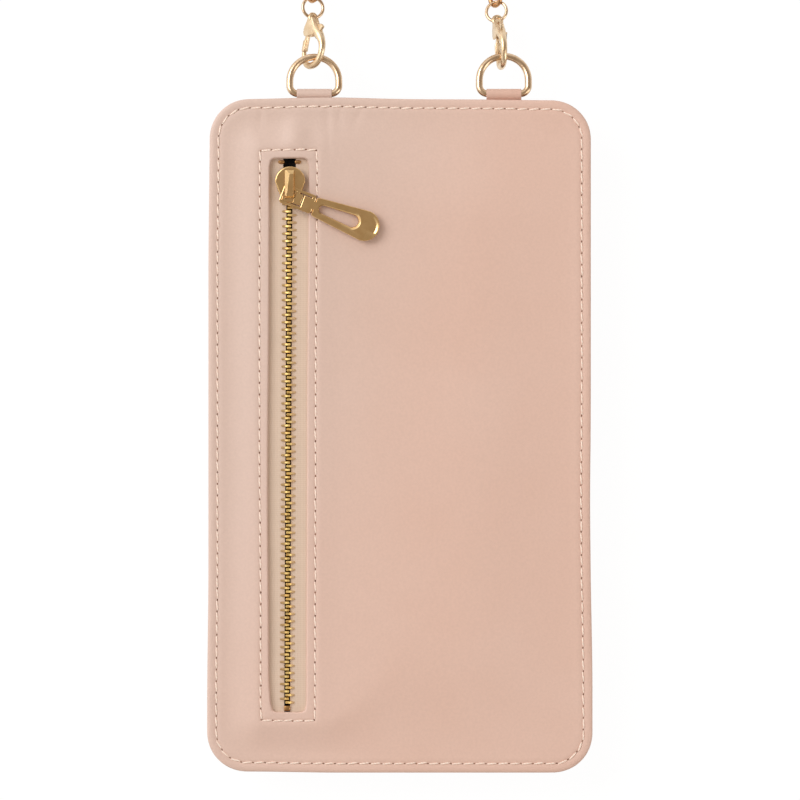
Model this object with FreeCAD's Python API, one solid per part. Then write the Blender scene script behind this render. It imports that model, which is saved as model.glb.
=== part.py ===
import FreeCAD, Part
import math
import os

# Phone pouch with a zip pocket and a chain strap, lying on its back.
# Millimetres. X is to the right, Y runs to the strap end, Z is up from the surface.
# The origin is the middle of the flat back, on the surface.

Vec = FreeCAD.Vector
Z_AXIS = Vec(0, 0, 1)
X_AXIS = Vec(1, 0, 0)
Y_AXIS = Vec(0, 1, 0)

# Pouch outline and its layers
POUCH_W = 105.0
POUCH_H = 185.0
CORNER_R = 10.0
FLANGE = 5.0
RISE = 8.0
FRONT_T = 1.1
CENTRE_T = 0.8
BACK_T = 1.0
LINING_T = 0.3
LINING_MARGIN = 0.6
PHONE_DEPTH = 8.8
ZIP_ROOM = 2.5
FRONT_CROWN = 1.4
TRAY_WALL = 7.5
TRAY_PROFILE = ((0.0, 1.0), (0.08, 0.76), (0.30, 0.33), (0.57, 0.10), (1.0, 0.0))
MOUTH_DROP = 8.0
MIN_CORNER = 4.0

# Zip window and stitches
ZIP_INSET = 21.9
WINDOW_W = 10.2
WINDOW_END = 16.5
WINDOW_R = 1.5
SEAM_INSET = 2.5
WINDOW_SEAM = 2.4
STITCH_L = 2.4
STITCH_W = 0.5
STITCH_H = 0.25
STITCH_PITCH = 3.2

# Zip tapes, teeth and stops
TAPE_T = 0.5
TAPE_EDGE = 0.75
TAPE_OUT = 8.6
TAPE_OVER = 3.2
TAPE_CORNER = 2.5
TAPE_SPLAY = 1.4
TOOTH_PITCH = 2.03
TOOTH_W = 0.9
TOOTH_T = 2.2
TOOTH_HEAD = 0.55
TOOTH_BACK = 2.0
TOOTH_SLACK = 0.05
STOP_L = 1.6
STOP_W = 1.9
STOP_T = 2.0
BOTTOM_STOP_W = 3.0
STOP_GAP = 0.25

# Slider with its bridge
SLIDER_L = 10.1
SLIDER_W = 8.2
SLIDER_TAIL_W = 5.5
SLIDER_TAIL_L = 2.2
SLIDER_PARK = 2.1
SLIDER_WALL = 0.45
PLATE_TOP_T = 0.8
PLATE_LOW_T = 0.7
PLATE_SLACK = 0.15
TAPE_SLOT = 0.45
POST_W = 1.7
POST_L = 2.8
BRIDGE_W = 2.2
BRIDGE_T = 0.9
BRIDGE_HEAD = 1.1
BRIDGE_TAIL = 8.9
BRIDGE_LEG = 1.2

# Link and tab of the puller
LINK_WIRE = 0.9
LINK_SLACK = 0.35
LINK_NEAR = 1.9
LINK_FAR = 6.95
LINK_WIDTH = 4.4
LINK_CORNER = 0.9
PULLER_YAW = -21.0
TAB_T = 1.4
TAB_BARREL_R = 1.0
TAB_BARREL_W = 2.3
TAB_BORE_SLACK = 0.05
TAB_SHOULDER = 1.15
TAB_NECK_R = 2.5
TAB_END_A = 22.35
TAB_END_R = 4.25
TAB_SLOT_NEAR = 10.2
TAB_SLOT_NEAR_R = 1.1
TAB_SLOT_FAR = 19.2
TAB_SLOT_FAR_R = 1.7
TAB_FILLET = 0.4

# Strap tabs and rings on the top edge
RING_INSET = (29.0, 23.8)
RING_WIRE = 1.9
RING_LINE_W = 13.5
RING_RISE = 10.4
RING_CORNER = 2.3
RING_SLACK = 0.05
STRIP_T = 0.5
STRIP_W = 10.2
STRIP_TAIL = 4.8
STRAP_TILT = 11.0

# Clasps: hook, cheeks, eye, trigger and pin
HOOK_WIRE = 1.6
HOOK_LINE_R = 2.6
HOOK_CENTRE = 0.42
HOOK_TOP = 5.6
CHEEK_T = 2.3
CHEEK_LOW = 4.6
EYE_V = 10.9
EYE_R = 1.6
EYE_HOLE_R = 0.9
EYE_T = 1.4
SLOT_T = 1.2
TRIGGER_T = 1.0
PIN_U = -0.8
PIN_V = 6.9
PIN_R = 0.45
PIN_SLACK = 0.05
GATE_W = 1.4
CLASP_TURN = (36.0, 18.0)
SPRING_T = 0.2

# Jump rings and chain
JUMP_WIRE = 1.1
JUMP_LINE_R = 2.6
JUMP_TURN = (30.0, 15.0)
CHAIN_L = 9.0
CHAIN_W = 5.0
CHAIN_WIRE = 1.4
CHAIN_SLACK = 0.3
CHAIN_REST = 2.6
CHAIN_GAP = 0.15
COIL_R = 34.0
COIL_STEP = 4.8
COIL_LAYER = 4.6
COIL_TURNS = 3
COIL_AWAY = 70.5
COIL_POINTS = 16
COIL_DIP = 1.2
TIE_T = 0.4
TIE_W = 3.0
TIE_LOW = 0.05
TIE_ROOM = 0.7

# Levels that follow from the layers
z_phone_top = BACK_T + PHONE_DEPTH
z_centre = z_phone_top + LINING_T
z_zip_lining = z_centre + CENTRE_T
z_room = z_zip_lining + LINING_T
z_front = z_room + ZIP_ROOM
z_top = z_front + FRONT_T
z_front_edge = z_front - FRONT_CROWN
z_centre_edge = z_front_edge - CENTRE_T
z_back_edge = z_centre_edge - BACK_T

# Places that follow from the outline
half_w = POUCH_W / 2
half_h = POUCH_H / 2
mouth_y = half_h - MOUTH_DROP
zip_x = ZIP_INSET - half_w
window_y = half_h - WINDOW_END
slider_head_y = window_y - SLIDER_PARK
left_x = RING_INSET[0] - half_w
right_x = half_w - RING_INSET[1]
coil_y = half_h + COIL_AWAY


def polygon(points):
    corners = [Vec(*p) for p in points]
    return Part.makePolygon(corners + corners[:1])


def prism(wire, rise):
    return Part.Face(wire).extrude(Vec(0, 0, rise))


def block(x0, x1, y0, y1, z0, z1):
    return Part.makeBox(x1 - x0, y1 - y0, z1 - z0, Vec(x0, y0, z0))


def rounded(x0, x1, y0, y1, r, z):
    k = r * (1 - math.sqrt(0.5))
    edges = []
    spots = (
        (x0 + r, y0, x1 - r, y0, x1 - k, y0 + k, x1, y0 + r),
        (x1, y0 + r, x1, y1 - r, x1 - k, y1 - k, x1 - r, y1),
        (x1 - r, y1, x0 + r, y1, x0 + k, y1 - k, x0, y1 - r),
        (x0, y1 - r, x0, y0 + r, x0 + k, y0 + k, x0 + r, y0),
    )
    for ax, ay, bx, by, mx, my, cx, cy in spots:
        edges.append(Part.makeLine(Vec(ax, ay, z), Vec(bx, by, z)))
        edges.append(Part.Arc(Vec(bx, by, z), Vec(mx, my, z), Vec(cx, cy, z)).toShape())
    return Part.Wire(edges)


def outline(inset, z, top=half_h):
    r = max(CORNER_R - inset / 2, MIN_CORNER)
    return rounded(-half_w + inset, half_w - inset, -half_h + inset, top - inset, r, z)


def dome(z, rise):
    wires = []
    for i in range(5):
        f = i / 4
        wires.append(outline(FLANGE + RISE * f, z + rise * f * f * (3 - 2 * f)))
    return Part.makeLoft(wires, True, True)


def tube(wire, start, along, d):
    ring = Part.Wire([Part.makeCircle(d / 2, start, along)])
    return wire.makePipeShell([ring], True, False)


def capsule(a1, r1, a2, r2, z):
    s = (r2 - r1) / (a2 - a1)
    c = math.sqrt(1 - s * s)
    p = [Vec(a1 - r1 * s, r1 * c, z), Vec(a2 - r2 * s, r2 * c, z)]
    q = [Vec(a1 - r1 * s, -r1 * c, z), Vec(a2 - r2 * s, -r2 * c, z)]
    return Part.Wire([
        Part.makeLine(q[0], q[1]),
        Part.Arc(q[1], Vec(a2 + r2, 0, z), p[1]).toShape(),
        Part.makeLine(p[1], p[0]),
        Part.Arc(p[0], Vec(a1 - r1, 0, z), q[0]).toShape(),
    ])


# Front panel: a flat sewn border round a slightly crowned face with the zip window
flange = prism(outline(0, z_front_edge), FRONT_T)
front_panel = flange.fuse(dome(z_front_edge + FRONT_T, FRONT_CROWN))
front_panel = front_panel.cut(dome(z_front_edge, FRONT_CROWN))
window_x0 = zip_x - WINDOW_W / 2
window_x1 = zip_x + WINDOW_W / 2
opening = rounded(window_x0, window_x1, -window_y, window_y, WINDOW_R, z_front_edge)
front_panel = front_panel.cut(prism(opening, 2 * FRONT_T + FRONT_CROWN))

# Centre panel between the two pockets: dished, to leave room for the zip
dish = z_centre - z_centre_edge
centre_panel = prism(outline(0, z_centre_edge), CENTRE_T).fuse(dome(z_centre_edge, dish))
centre_panel = centre_panel.cut(dome(z_centre_edge + CENTRE_T, dish))

# Linings on both sides of the centre panel
lining_inset = FLANGE + RISE + LINING_MARGIN
zip_pocket_lining = prism(outline(lining_inset, z_zip_lining), LINING_T)
phone_pocket_lining = prism(outline(lining_inset, z_phone_top), LINING_T)

# Back panel: a soft tray that is open at the strap end, for the phone
past_top = half_h + 4 * CORNER_R
shell_out = []
shell_in = []
for across, up in TRAY_PROFILE:
    inset = FLANGE + TRAY_WALL * across
    shell_out.append(outline(inset, z_back_edge * up, past_top))
    rise_in = (z_centre_edge - BACK_T) * up
    shell_in.append(outline(inset + BACK_T * (1 - up), BACK_T + rise_in, past_top))
back_panel = prism(outline(0, z_back_edge, past_top), BACK_T)
back_panel = back_panel.fuse(Part.makeLoft(shell_out, True, True))
back_panel = back_panel.cut(Part.makeLoft(shell_in, True, True))
back_panel = back_panel.cut(block(-POUCH_W, POUCH_W, mouth_y, past_top + 1, -1, z_top))

# Stitches: one thread bar to each stitch, on the front and on the back flange
bar_section = polygon([
    (-STITCH_L / 2, -STITCH_W / 2, 0),
    (-STITCH_L / 2, STITCH_W / 2, 0),
    (-STITCH_L / 2, STITCH_W / 2, STITCH_H * 0.4),
    (-STITCH_L / 2, STITCH_W / 4, STITCH_H),
    (-STITCH_L / 2, -STITCH_W / 4, STITCH_H),
    (-STITCH_L / 2, -STITCH_W / 2, STITCH_H * 0.4),
])
stitch = Part.Face(bar_section).extrude(Vec(STITCH_L, 0, 0))


def seam(wire, flip):
    count = round(wire.Length / STITCH_PITCH)
    spots = wire.discretize(Number=2 * count + 1)
    bars = []
    for i in range(count):
        run = spots[2 * i + 2] - spots[2 * i]
        turn = FreeCAD.Rotation(Z_AXIS, math.degrees(math.atan2(run.y, run.x)))
        if flip:
            turn = turn.multiply(FreeCAD.Rotation(X_AXIS, 180))
        bar = stitch.copy()
        bar.Placement = FreeCAD.Placement(spots[2 * i + 1], turn)
        bars.append(bar)
    return bars


edge_bars = seam(outline(SEAM_INSET, z_front_edge + FRONT_T), False)
for bar in seam(outline(SEAM_INSET, z_back_edge), True):
    if bar.BoundBox.YMax < mouth_y:
        edge_bars.append(bar)
edge_stitches = Part.makeCompound(edge_bars)
window_line = rounded(
    window_x0 - WINDOW_SEAM, window_x1 + WINDOW_SEAM,
    -window_y - WINDOW_SEAM, window_y + WINDOW_SEAM, WINDOW_R / 2, z_top)
window_stitches = Part.makeCompound(seam(window_line, False))

# Zip tapes under the panel, parted at the slider's head
zip_z = z_front - TAPE_T / 2
tape_y = window_y + TAPE_OVER
slider_tail_y = slider_head_y - SLIDER_L
split_y = slider_head_y - SLIDER_L / 2
tape_plan = polygon([
    (TAPE_EDGE, -tape_y, 0),
    (TAPE_OUT - TAPE_CORNER, -tape_y, 0),
    (TAPE_OUT, TAPE_CORNER - tape_y, 0),
    (TAPE_OUT, tape_y - TAPE_CORNER, 0),
    (TAPE_OUT - TAPE_CORNER, tape_y, 0),
    (TAPE_SPLAY, tape_y, 0),
    (TAPE_SPLAY, split_y + 1.5, 0),
    (TAPE_EDGE, split_y - 2.0, 0),
])
tape = prism(tape_plan, TAPE_T)
tape.translate(Vec(0, 0, z_front - TAPE_T))

# Zip teeth: each one grips the tape edge between two legs
tooth_plan = polygon([
    (TOOTH_BACK, -TOOTH_W / 2, -TOOTH_T / 2),
    (TOOTH_BACK, TOOTH_W / 2, -TOOTH_T / 2),
    (-TOOTH_HEAD * 0.4, TOOTH_W / 2, -TOOTH_T / 2),
    (-TOOTH_HEAD, TOOTH_W / 5, -TOOTH_T / 2),
    (-TOOTH_HEAD, -TOOTH_W / 5, -TOOTH_T / 2),
    (-TOOTH_HEAD * 0.4, -TOOTH_W / 2, -TOOTH_T / 2),
])
grip = TAPE_T / 2 + TOOTH_SLACK
tooth = prism(tooth_plan, TOOTH_T)
tooth = tooth.cut(block(TAPE_EDGE - TOOTH_SLACK, TOOTH_BACK + 1, -TOOTH_W, TOOTH_W, -grip, grip))
stop_y = -window_y + STOP_GAP
first_y = stop_y + STOP_L + STOP_GAP + TOOTH_W / 2
room = split_y - first_y - TOOTH_W
pairs = int(room / TOOTH_PITCH)


def mirrored(shape):
    return shape.mirror(Vec(0, 0, 0), X_AXIS)


def at_zip(shape):
    moved = shape.copy()
    moved.translate(Vec(zip_x, 0, 0))
    return moved


def row(side):
    model = tooth
    offset = 0.0
    if side < 0:
        model = mirrored(tooth)
        offset = TOOTH_PITCH / 2
    lower_half = []
    upper_half = []
    for i in range(pairs):
        y = first_y + offset + i * TOOTH_PITCH
        one = model.copy()
        one.translate(Vec(zip_x, y, zip_z))
        if y < 0:
            lower_half.append(one)
        else:
            upper_half.append(one)
    return Part.makeCompound(lower_half), Part.makeCompound(upper_half)


# Each row has a lower and an upper half, which swing apart like a long lens
zip_tape_right = at_zip(tape)
zip_tape_left = at_zip(mirrored(tape))
zip_teeth_right_lower, zip_teeth_right_upper = row(1)
zip_teeth_left_lower, zip_teeth_left_upper = row(-1)

# Stops: a clip on each tape above the slider and one across both below
stop_x = TAPE_SPLAY - TOOTH_SLACK
clip = block(stop_x - 0.45, stop_x - 0.45 + STOP_W, 0, STOP_L, zip_z - STOP_T / 2, zip_z + STOP_T / 2)
clip = clip.cut(block(stop_x, stop_x + STOP_W, -1, STOP_L + 1, zip_z - grip, zip_z + grip))
clip.translate(Vec(0, slider_head_y + STOP_GAP, 0))
zip_stop_right = at_zip(clip)
zip_stop_left = at_zip(mirrored(clip))
half_stop = BOTTOM_STOP_W / 2
lower = block(-half_stop, half_stop, stop_y, stop_y + STOP_L, zip_z - STOP_T / 2, zip_z + STOP_T / 2)
for x0, x1 in ((-half_stop - 1, -TAPE_EDGE + TOOTH_SLACK), (TAPE_EDGE - TOOTH_SLACK, half_stop + 1)):
    lower = lower.cut(block(x0, x1, stop_y - 1, stop_y + STOP_L + 1, zip_z - grip, zip_z + grip))
zip_bottom_stop = at_zip(lower)


# Slider: two plates joined by a post, side walls that close the rows, and a bridge
def slider_plan(half, tail, z):
    y_wide = -SLIDER_W / 2
    y_tail = -SLIDER_L + SLIDER_TAIL_L
    return Part.Wire([
        Part.Arc(Vec(half, y_wide, z), Vec(0, y_wide + half, z), Vec(-half, y_wide, z)).toShape(),
        Part.makeLine(Vec(-half, y_wide, z), Vec(-tail, y_tail, z)),
        Part.makeLine(Vec(-tail, y_tail, z), Vec(-tail, -SLIDER_L, z)),
        Part.makeLine(Vec(-tail, -SLIDER_L, z), Vec(tail, -SLIDER_L, z)),
        Part.makeLine(Vec(tail, -SLIDER_L, z), Vec(tail, y_tail, z)),
        Part.makeLine(Vec(tail, y_tail, z), Vec(half, y_wide, z)),
    ])


slider_half = SLIDER_W / 2
tail_half = SLIDER_TAIL_W / 2
channel = TOOTH_T / 2 + PLATE_SLACK
z_plate = zip_z + channel
z_plate_top = z_plate + PLATE_TOP_T
z_low = zip_z - channel
upper = prism(slider_plan(slider_half, tail_half, z_plate), PLATE_TOP_T)
crown_edges = [e for e in upper.Edges if e.BoundBox.ZMin > z_plate_top - 1e-6]
upper = upper.makeFillet(PLATE_TOP_T * 0.45, crown_edges)
slider_body = upper.fuse(prism(slider_plan(slider_half, tail_half, z_low - PLATE_LOW_T), PLATE_LOW_T))
wall_cut = block(-SLIDER_W, SLIDER_W, -SLIDER_L - 1, -SLIDER_W / 2 - 1, -1, z_top)
for z0, z1 in ((zip_z + TAPE_SLOT, z_plate), (z_low, zip_z - TAPE_SLOT)):
    wall = prism(slider_plan(slider_half, tail_half, z0), z1 - z0)
    hollow = prism(slider_plan(slider_half - SLIDER_WALL, tail_half - SLIDER_WALL, z0), z1 - z0)
    hollow = hollow.fuse(block(
        SLIDER_WALL - tail_half, tail_half - SLIDER_WALL, -SLIDER_L - 1, -SLIDER_L / 2, z0, z1))
    slider_body = slider_body.fuse(wall.cut(hollow).common(wall_cut))
post = polygon([
    (0, -BRIDGE_HEAD + 0.3, z_low),
    (-POST_W / 2, -BRIDGE_HEAD - 0.9, z_low),
    (0, -BRIDGE_HEAD + 0.3 - POST_L, z_low),
    (POST_W / 2, -BRIDGE_HEAD - 0.9, z_low),
])
slider_body = slider_body.fuse(prism(post, 2 * channel))
link_z = z_plate_top + LINK_SLACK + LINK_WIRE / 2
z_arch = link_z + LINK_WIRE / 2 + LINK_SLACK
bridge_x = -BRIDGE_W / 2
z_foot = z_plate_top - PLATE_TOP_T / 2
arch = polygon([
    (bridge_x, -BRIDGE_HEAD, z_foot),
    (bridge_x, -BRIDGE_HEAD - 0.2, z_arch - 0.3),
    (bridge_x, -BRIDGE_HEAD - 1.2, z_arch + BRIDGE_T),
    (bridge_x, -BRIDGE_TAIL + 0.9, z_arch + BRIDGE_T),
    (bridge_x, -BRIDGE_TAIL, z_arch + 0.1),
    (bridge_x, -BRIDGE_TAIL, z_foot),
    (bridge_x, -BRIDGE_TAIL + BRIDGE_LEG, z_foot),
    (bridge_x, -BRIDGE_TAIL + BRIDGE_LEG, z_arch),
    (bridge_x, -BRIDGE_HEAD - BRIDGE_LEG - 0.6, z_arch),
    (bridge_x, -BRIDGE_HEAD - BRIDGE_LEG, z_foot),
])
slider_body = slider_body.fuse(Part.Face(arch).extrude(Vec(BRIDGE_W, 0, 0)))
slider_body.translate(Vec(zip_x, slider_head_y, 0))

# Puller: a wire link round the bridge's tail leg, and a slotted tab that turns on it
swing_y = slider_head_y - BRIDGE_TAIL + BRIDGE_LEG / 2


def puller_place(shape):
    turn = FreeCAD.Rotation(Z_AXIS, PULLER_YAW)
    moved = shape.copy()
    moved.Placement = FreeCAD.Placement(Vec(zip_x, swing_y, 0), turn).multiply(moved.Placement)
    return moved


link_line = rounded(-LINK_NEAR, LINK_FAR, -LINK_WIDTH / 2, LINK_WIDTH / 2, LINK_CORNER, link_z)
link_start = Vec(LINK_CORNER - LINK_NEAR, -LINK_WIDTH / 2, link_z)
puller_link = puller_place(tube(link_line, link_start, X_AXIS, LINK_WIRE))
tab_low = link_z - TAB_BARREL_R
shoulder = LINK_FAR + TAB_SHOULDER
plate = prism(capsule(shoulder + 0.9, TAB_NECK_R, TAB_END_A, TAB_END_R, tab_low), TAB_T)
plate = plate.cut(block(-LINK_FAR, shoulder, -LINK_WIDTH, LINK_WIDTH, tab_low - 1, tab_low + TAB_T + 1))
slot = capsule(TAB_SLOT_NEAR, TAB_SLOT_NEAR_R, TAB_SLOT_FAR, TAB_SLOT_FAR_R, tab_low - 1)
plate = plate.cut(prism(slot, TAB_T + 2))
rims = []
for edge in plate.Edges:
    box = edge.BoundBox
    if box.ZLength < 1e-6 and box.XMax > shoulder + 0.1:
        rims.append(edge)
plate = plate.makeFillet(TAB_FILLET, rims)
tongue = block(LINK_FAR, shoulder + 0.3, -TAB_BARREL_W / 2, TAB_BARREL_W / 2, tab_low, tab_low + TAB_T)
barrel_start = Vec(LINK_FAR, -TAB_BARREL_W / 2, link_z)
barrel = Part.makeCylinder(TAB_BARREL_R, TAB_BARREL_W, barrel_start, Y_AXIS)
bore_start = Vec(LINK_FAR, -TAB_BARREL_W, link_z)
bore = Part.makeCylinder(LINK_WIRE / 2 + TAB_BORE_SLACK, 2 * TAB_BARREL_W, bore_start, Y_AXIS)
puller_tab = puller_place(plate.fuse(tongue).fuse(barrel).cut(bore).removeSplitter())

# Strap tabs: a folded strip round the bar of each ring, its tails under the top seam
bar_z = z_centre_edge - STRIP_T
loop_in = RING_WIRE / 2 + RING_SLACK
loop_out = loop_in + STRIP_T
bar_y = half_h + loop_out


def strap_tab(x):
    x0 = x - STRIP_W / 2
    folded = Part.makeCylinder(loop_out, STRIP_W, Vec(x0, bar_y, bar_z), X_AXIS)
    tails = block(x0, x0 + STRIP_W, half_h - STRIP_TAIL, bar_y, bar_z - STRIP_T, bar_z + STRIP_T)
    hole = Part.makeCylinder(loop_in, STRIP_W + 2, Vec(x0 - 1, bar_y, bar_z), X_AXIS)
    return folded.fuse(tails).cut(hole)


def strap_place(shape, x, v, turn):
    tilt = FreeCAD.Rotation(X_AXIS, -STRAP_TILT)
    moved = shape.copy()
    spin = FreeCAD.Placement(Vec(0, v, 0), FreeCAD.Rotation(Y_AXIS, turn))
    base = FreeCAD.Placement(Vec(x, bar_y, bar_z), tilt)
    moved.Placement = base.multiply(spin).multiply(moved.Placement)
    return moved


# Ring of each tab: a straight bar, rounded corners and a half-round bow
ring_half = RING_LINE_W / 2
bow_v = RING_RISE - ring_half
corner = RING_CORNER * (1 - math.sqrt(0.5))
ring_line = Part.Wire([
    Part.makeLine(Vec(RING_CORNER - ring_half, 0, 0), Vec(ring_half - RING_CORNER, 0, 0)),
    Part.Arc(Vec(ring_half - RING_CORNER, 0, 0), Vec(ring_half - corner, corner, 0),
             Vec(ring_half, RING_CORNER, 0)).toShape(),
    Part.makeLine(Vec(ring_half, RING_CORNER, 0), Vec(ring_half, bow_v, 0)),
    Part.Arc(Vec(ring_half, bow_v, 0), Vec(ring_half * math.sqrt(0.5), bow_v + ring_half * math.sqrt(0.5), 0),
             Vec(0, RING_RISE, 0)).toShape(),
    Part.Arc(Vec(0, RING_RISE, 0), Vec(-ring_half * math.sqrt(0.5), bow_v + ring_half * math.sqrt(0.5), 0),
             Vec(-ring_half, bow_v, 0)).toShape(),
    Part.makeLine(Vec(-ring_half, bow_v, 0), Vec(-ring_half, RING_CORNER, 0)),
    Part.Arc(Vec(-ring_half, RING_CORNER, 0), Vec(corner - ring_half, corner, 0),
             Vec(RING_CORNER - ring_half, 0, 0)).toShape(),
])
d_ring = tube(ring_line, Vec(RING_CORNER - ring_half, 0, 0), X_AXIS, RING_WIRE)

# Clasp body: a round hook under two cheeks that end in an eye, with a slot between them
hook_top = Vec(HOOK_LINE_R, HOOK_TOP, 0)
hook_tip = Vec(-HOOK_LINE_R, HOOK_CENTRE + 2.2, 0)
hook_line = Part.Wire([
    Part.makeLine(hook_top, Vec(HOOK_LINE_R, HOOK_CENTRE, 0)),
    Part.Arc(Vec(HOOK_LINE_R, HOOK_CENTRE, 0), Vec(0, HOOK_CENTRE - HOOK_LINE_R, 0),
             Vec(-HOOK_LINE_R, HOOK_CENTRE, 0)).toShape(),
    Part.makeLine(Vec(-HOOK_LINE_R, HOOK_CENTRE, 0), hook_tip),
])
hook = tube(hook_line, hook_top, Y_AXIS, HOOK_WIRE)
hook_r = HOOK_WIRE / 2
tip_slope = 0.56
tip_v = 1.4
tip_in = -HOOK_LINE_R + hook_r
tip_cut = polygon([
    (tip_in + 0.3, tip_v - 0.3 * tip_slope, -CHEEK_T),
    (tip_in + 0.3, HOOK_TOP, -CHEEK_T),
    (tip_in - HOOK_WIRE - 0.3, HOOK_TOP, -CHEEK_T),
    (tip_in - HOOK_WIRE - 0.3, tip_v + (HOOK_WIRE + 0.3) * tip_slope, -CHEEK_T),
])
hook = hook.cut(prism(tip_cut, 2 * CHEEK_T))
side = HOOK_LINE_R + hook_r
cheek_plan = polygon([
    (side, CHEEK_LOW, -CHEEK_T / 2),
    (side - 0.1, PIN_V - 0.3, -CHEEK_T / 2),
    (EYE_R * 0.8, EYE_V - 1.2, -CHEEK_T / 2),
    (-EYE_R * 0.8, EYE_V - 1.2, -CHEEK_T / 2),
    (-side + 0.2, PIN_V - 0.3, -CHEEK_T / 2),
    (-side + 0.1, CHEEK_LOW, -CHEEK_T / 2),
])
cheeks = prism(cheek_plan, CHEEK_T)
slot_v1 = EYE_V - 1.75
cheeks = cheeks.cut(block(-side - 1, HOOK_LINE_R - hook_r - 0.2, CHEEK_LOW - 1, slot_v1, -SLOT_T / 2, SLOT_T / 2))
cheeks = cheeks.cut(block(0, side + 1, PIN_V - 0.4, slot_v1, -SLOT_T / 2, SLOT_T / 2))
eye = Part.makeCylinder(EYE_R, EYE_T, Vec(0, EYE_V, -EYE_T / 2), Z_AXIS)
eye = eye.fuse(block(-EYE_R * 0.7, EYE_R * 0.7, slot_v1 + 0.4, EYE_V, -EYE_T / 2, EYE_T / 2))
clasp_body = cheeks.fuse(hook).fuse(eye)
clasp_body = clasp_body.cut(Part.makeCylinder(EYE_HOLE_R, CHEEK_T, Vec(0, EYE_V, -CHEEK_T / 2), Z_AXIS))
pin_low = Vec(PIN_U, PIN_V, -CHEEK_T / 2)
clasp_body = clasp_body.cut(Part.makeCylinder(PIN_R + 0.02, CHEEK_T, pin_low, Z_AXIS))
clasp_pin = Part.makeCylinder(PIN_R, CHEEK_T, pin_low, Z_AXIS)

# Clasp trigger: a gate bar, a boss on the pin and a thumb knob
gate_in = -HOOK_LINE_R + GATE_W / 2
gate_out = gate_in - GATE_W
gate_tip = tip_v + 0.3
gate_plan = polygon([
    (gate_in, gate_tip, -TRIGGER_T / 2),
    (gate_in, PIN_V - 1.6, -TRIGGER_T / 2),
    (PIN_U + 0.9, PIN_V - 0.6, -TRIGGER_T / 2),
    (PIN_U, PIN_V + 1.0, -TRIGGER_T / 2),
    (PIN_U - 1.0, PIN_V + 0.5, -TRIGGER_T / 2),
    (gate_out, PIN_V - 1.2, -TRIGGER_T / 2),
    (gate_out, gate_tip + 0.85, -TRIGGER_T / 2),
])
clasp_trigger = prism(gate_plan, TRIGGER_T)
clasp_trigger = clasp_trigger.fuse(
    Part.makeCylinder(1.1, TRIGGER_T, Vec(PIN_U, PIN_V, -TRIGGER_T / 2), Z_AXIS))
clasp_trigger = clasp_trigger.fuse(
    block(PIN_U, side + 0.4, PIN_V + 0.1, PIN_V + 1.0, -TRIGGER_T / 2, TRIGGER_T / 2))
knob_u = side + 0.75
knob = Part.makeCylinder(0.7, 2 * TRIGGER_T, Vec(knob_u, PIN_V + 0.55, -TRIGGER_T), Z_AXIS)
clasp_trigger = clasp_trigger.fuse(knob)
clasp_trigger = clasp_trigger.cut(
    Part.makeCylinder(PIN_R + PIN_SLACK, 4, Vec(PIN_U, PIN_V, -2), Z_AXIS))

# Clasp spring: a bent leaf between the slot wall and the boss of the trigger
wall_u = HOOK_LINE_R - hook_r - 0.25
leaf_plan = polygon([
    (wall_u - 0.25, CHEEK_LOW + 0.2, -0.4),
    (wall_u, CHEEK_LOW + 0.2, -0.4),
    (wall_u, CHEEK_LOW + 1.6, -0.4),
    (wall_u - SPRING_T, CHEEK_LOW + 1.6, -0.4),
    (wall_u - SPRING_T, CHEEK_LOW + 0.7, -0.4),
    (PIN_U + 1.25, PIN_V - 0.75, -0.4),
    (PIN_U + 1.10, PIN_V - 0.95, -0.4),
])
clasp_spring = prism(leaf_plan, 0.8)

# Jump rings between the clasp eyes and the chain ends
ring_top = RING_RISE
jump_v = ring_top + EYE_V + 0.1 + JUMP_LINE_R
jump_ring = Part.makeTorus(JUMP_LINE_R, JUMP_WIRE / 2)

# Chain link: a round wire bent to a long loop
link_r = (CHAIN_W - CHAIN_WIRE) / 2
link_s = (CHAIN_L - CHAIN_W) / 2
loop_line = Part.Wire([
    Part.makeLine(Vec(-link_s, -link_r, 0), Vec(link_s, -link_r, 0)),
    Part.Arc(Vec(link_s, -link_r, 0), Vec(link_s + link_r, 0, 0), Vec(link_s, link_r, 0)).toShape(),
    Part.makeLine(Vec(link_s, link_r, 0), Vec(-link_s, link_r, 0)),
    Part.Arc(Vec(-link_s, link_r, 0), Vec(-link_s - link_r, 0, 0), Vec(-link_s, -link_r, 0)).toShape(),
])
chain_link = tube(loop_line, Vec(-link_s, -link_r, 0), X_AXIS, CHAIN_WIRE)

# Chain route: down to the surface, round a coil in two layers, and back to the right ring
pitch = CHAIN_L - 2 * CHAIN_WIRE - CHAIN_SLACK
end_wire = jump_v + JUMP_LINE_R - (JUMP_WIRE + CHAIN_WIRE) / 2 - CHAIN_GAP
end_v = end_wire + CHAIN_L / 2 - CHAIN_WIRE / 2 - pitch / 2
tilt = math.radians(STRAP_TILT)


def on_strap(x, v):
    return Vec(x, bar_y + v * math.cos(tilt), bar_z - v * math.sin(tilt))


coil_x = (left_x + right_x) / 2
upper_z = CHAIN_REST + COIL_LAYER
lead_in = [
    on_strap(left_x, end_v),
    on_strap(left_x, end_v + 9.0),
    Vec(left_x - 0.8, coil_y - 25.0, CHAIN_REST),
    Vec(coil_x - COIL_R + 2.0, coil_y - 15.0, CHAIN_REST),
    Vec(coil_x - COIL_R, coil_y - 6.0, CHAIN_REST),
]
lead_out = [
    Vec(coil_x + COIL_R, coil_y - 6.0, upper_z),
    Vec(coil_x + COIL_R - 2.0, coil_y - 15.0, upper_z - 2.4),
    Vec(right_x + 0.8, coil_y - 25.0, CHAIN_REST + 0.6),
    on_strap(right_x, end_v + 9.0),
    on_strap(right_x, end_v),
]


def coil_point(turn, r, z):
    angle = math.pi - 2 * math.pi * turn
    return Vec(coil_x + r * math.cos(angle), coil_y + r * math.sin(angle), z)


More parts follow.
